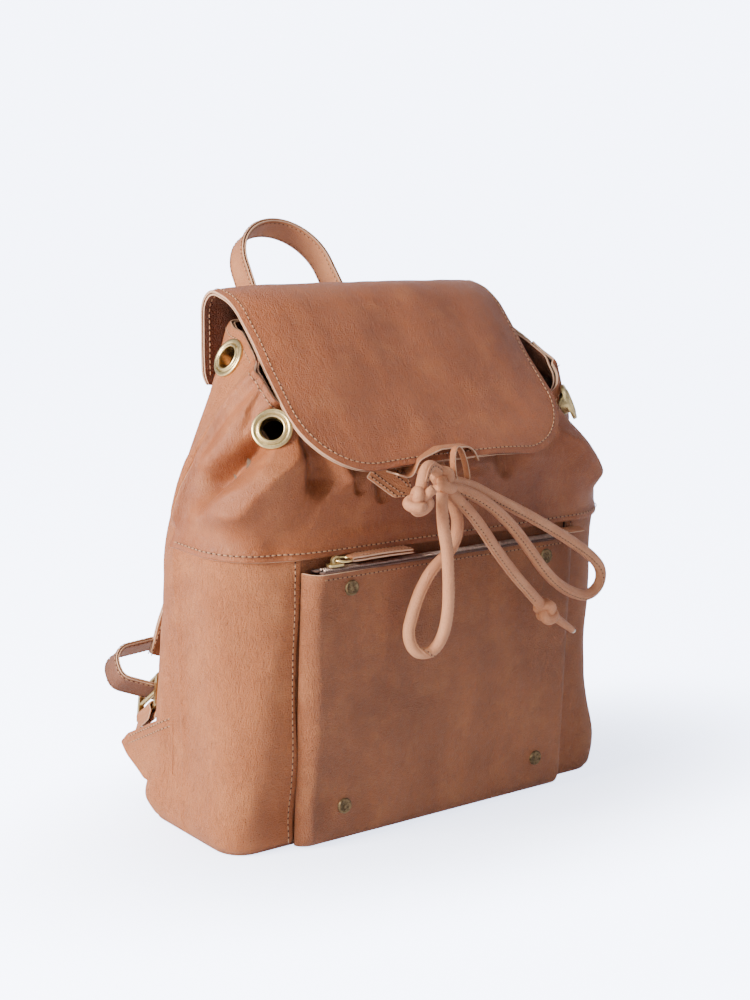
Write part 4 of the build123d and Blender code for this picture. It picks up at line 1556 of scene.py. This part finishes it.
def cord_seam(stitches, line, toward):
    """The stitch row along a rolled cord, on the side facing toward; returns its outward directions."""
    toward = Vector(toward)
    outs = []
    for k in range(len(line)):
        run = (line[min(k + 1, len(line) - 1)] - line[max(k - 1, 0)]).normalized()
        outs.append((toward - run * run.dot(toward)).normalized())
    row = [p + o * (CORD_SURFACE + 0.05) for p, o in zip(line, outs)]
    stitches.row(row, outs, 3.0, 0.4, 0.05, 0.45)
    return outs


def welt_mesh(name, line, outs):
    """A narrow proud lip beside the stitch row of a rolled cord."""
    points = []
    sides = 8
    for k, (here, out) in enumerate(zip(line, outs)):
        run = (line[min(k + 1, len(line) - 1)] - line[max(k - 1, 0)]).normalized()
        side = run.cross(out).normalized()
        lean = (out * 0.86 + side * 0.5).normalized()
        centre = here + lean * (CORD_SURFACE - 0.25)
        across = run.cross(lean)
        for s in range(sides):
            angle = 2 * pi * s / sides
            points.append(centre + lean * 0.75 * cos(angle) + across * 0.45 * sin(angle))
    return mesh_from(name, points, tube_faces(len(line), sides))


def knot_mesh(name, centre, size, turn):
    """An overhand knot of the cord: a trefoil line squeezed into a ball."""
    line = []
    for k in range(97):
        t = 2 * pi * k / 96
        spot = Vector((sin(t) + 2 * sin(2 * t), cos(t) - 2 * cos(2 * t), -1.6 * sin(3 * t)))
        line.append(Vector(centre) + turn @ (spot * size / 3.0))
    return tube_mesh(name, line, lambda share: KNOT_RADIUS, 14)


def build_cords():
    """The drawcord in the mouth, the bow's loops and tails, and its knots."""
    stitches = Stitches()
    made = {}
    routes = (
        ("drawcord", DRAWCORD_ROUTE, (0, 0, 1)),
        ("cord_loop_left", LOOP_LEFT_ROUTE, (0.9, -0.5, 0.2)),
        ("cord_loop_right", LOOP_RIGHT_ROUTE, (-0.2, -0.8, -0.5)),
        ("cord_tail_right", TAIL_RIGHT_ROUTE, (-0.5, -0.8, -0.4)),
        ("cord_tail_left", TAIL_LEFT_ROUTE, (0.4, -0.9, 0.1)),
    )
    for name, route, toward in routes:
        item, line = cord_curve(name, route)
        made[name] = (item, line)
        inner = line[6:-6]
        outs = cord_seam(stitches, inner, toward)
        welt = welt_mesh(f"{name}_welt", inner, outs)
        piece(f"{name}_welt", welt, "root", (CORD_LEATHER,))
    stitches.make("cord_stitches", "root")

    knots = {}
    for name, centre, size, angles in (
        ("cord_knot_right", (64, -79, 128), 6.2, (0.5, 0.9, 0.4)),
        ("cord_knot_left", (-52, -89, 211), 6.4, (1.2, 0.2, 0.9)),
        ("bow_knot", (-26, -80, 219), 6.2, (0.3, 1.3, 0.2)),
    ):
        turn_x, turn_y, turn_z = (Matrix.Rotation(angle, 3, axis) for angle, axis in zip(angles, "XYZ"))
        turn = turn_x @ turn_y @ turn_z
        mesh = knot_mesh(name, centre, size, turn)
        knots[name] = piece(name, mesh, "root", (CORD_LEATHER,))

    tip_line = smooth_path(((64, -79, 128), (77, -78, 120), (91, -76, 111)))
    mesh = tube_mesh("cord_tip_right", tip_line, lambda share: 3.3 - 1.2 * share, 14)
    tip = piece("cord_tip_right", mesh, "root", (CORD_LEATHER,))
    run = (tip_line[-1] - tip_line[-2]).normalized()
    core_line = [tip_line[-1] + run * d for d in (-1.5, 0.6, 1.6, 2.0)]
    mesh = tube_mesh("cord_core", core_line, lambda share: 1.9 if share < 0.6 else 1.5, 12)
    core = piece("cord_core", mesh, "root", (CORE,))

    knot_line = [Vector((-52, -89, 211)) + Vector((0.5, -0.5, 0.7)) * d for d in (0, 4, 8, 12)]
    mesh = tube_mesh("cord_end_left", knot_line, lambda share: 2.9, 14)
    end_left = piece("cord_end_left", mesh, "root", (CORD_LEATHER,))

    for name, far_end, extra in (
        ("cord_loop_left", "object", []),
        ("cord_loop_right", "object", []),
        ("cord_tail_right", "knot", [knots["cord_knot_right"], tip, core]),
        ("cord_tail_left", "knot", [knots["cord_knot_left"], end_left]),
    ):
        item, line = made[name]


def build_keeper():
    """The keeper: a thin doubled strip over the cords with a stitched, pointed tab, and a strap ring."""
    path = rounded_line(
        ((-55, 224), (-43, 220), (-38, 231), (-22, 236), (2, 236), (7, 227)), (6.0, 6.0, 8.0, 10.0, 4.0), 1.2
    )
    centres = [Vector((p.x, -66.0, p.y)) for p in path]
    widths = [Vector((0, 1, 0))] * len(centres)
    mesh, _ = ribbon("cord_keeper", centres, widths, 15.0, 1.4, 0.0, 4)
    soft_piece("cord_keeper", mesh, "root", STRAP_SHEET)

    def tab(u, v):
        """A pointed, doubled tab that slants down under the flap."""
        half = 8.0 * min(1.0, (1 - u) * 3.2 + 0.12)
        run = Vector((24, -7, -18)) * u
        up = Vector((0.55, -0.1, 0.8)).normalized()
        return Vector((-62, -60, 228)) + run + up * (2 * v - 1) * half

    mesh = sheet_mesh("cord_keeper_tab", tab, 2.4, 8, 16)
    soft_piece("cord_keeper_tab", mesh, "root", STRAP_SHEET)
    stitches = Stitches()
    for share in (0.12, 1 - 0.12, 0.3, 1 - 0.3):
        line = [tab(k / 20 * 0.85, share) + Vector((0, -0.35, 0)) for k in range(21)]
        stitches.row(line, [Vector((-0.2, -1, 0.1))] * 21, 2.8)
    stitches.make("keeper_stitches", "root")

    ring = []
    for k in range(33):
        angle = 2 * pi * k / 32
        rise = 15 * sin(angle) - 4 * cos(angle)
        ring.append(Vector((-12 + 5.5 * cos(angle), -79 + 6 * sin(angle) * 0.5, 222 + rise)))
    ring_widths = [Vector((0.35, -0.9, 0.2)).normalized()] * len(ring)
    mesh, _ = ribbon("bow_strap", ring, ring_widths, 4.5, 1.2, 0.0, 2)
    soft_piece("bow_strap", mesh, "root", STRAP_SHEET)


def dress_cad_nodes():
    """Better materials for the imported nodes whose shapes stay."""
    for name, material in (
        ("zip_slider", BRASS),
        ("zip_pull_ring", BRASS),
        ("strap_buckle_left", BRASS),
        ("strap_buckle_right", BRASS),
        ("eyelet_washers", BRASS),
        ("rivet_posts", ANTIQUE),
        ("base_board", BOARD),
    ):
        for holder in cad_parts[name].material_slots:
            holder.material = material


build_wall_stitches()
build_eyelets()
build_rivets()
build_pocket()
build_zip()
build_flap()
build_handle()
build_back_straps()
build_seam_strip()
build_cords()
build_keeper()
dress_cad_nodes()
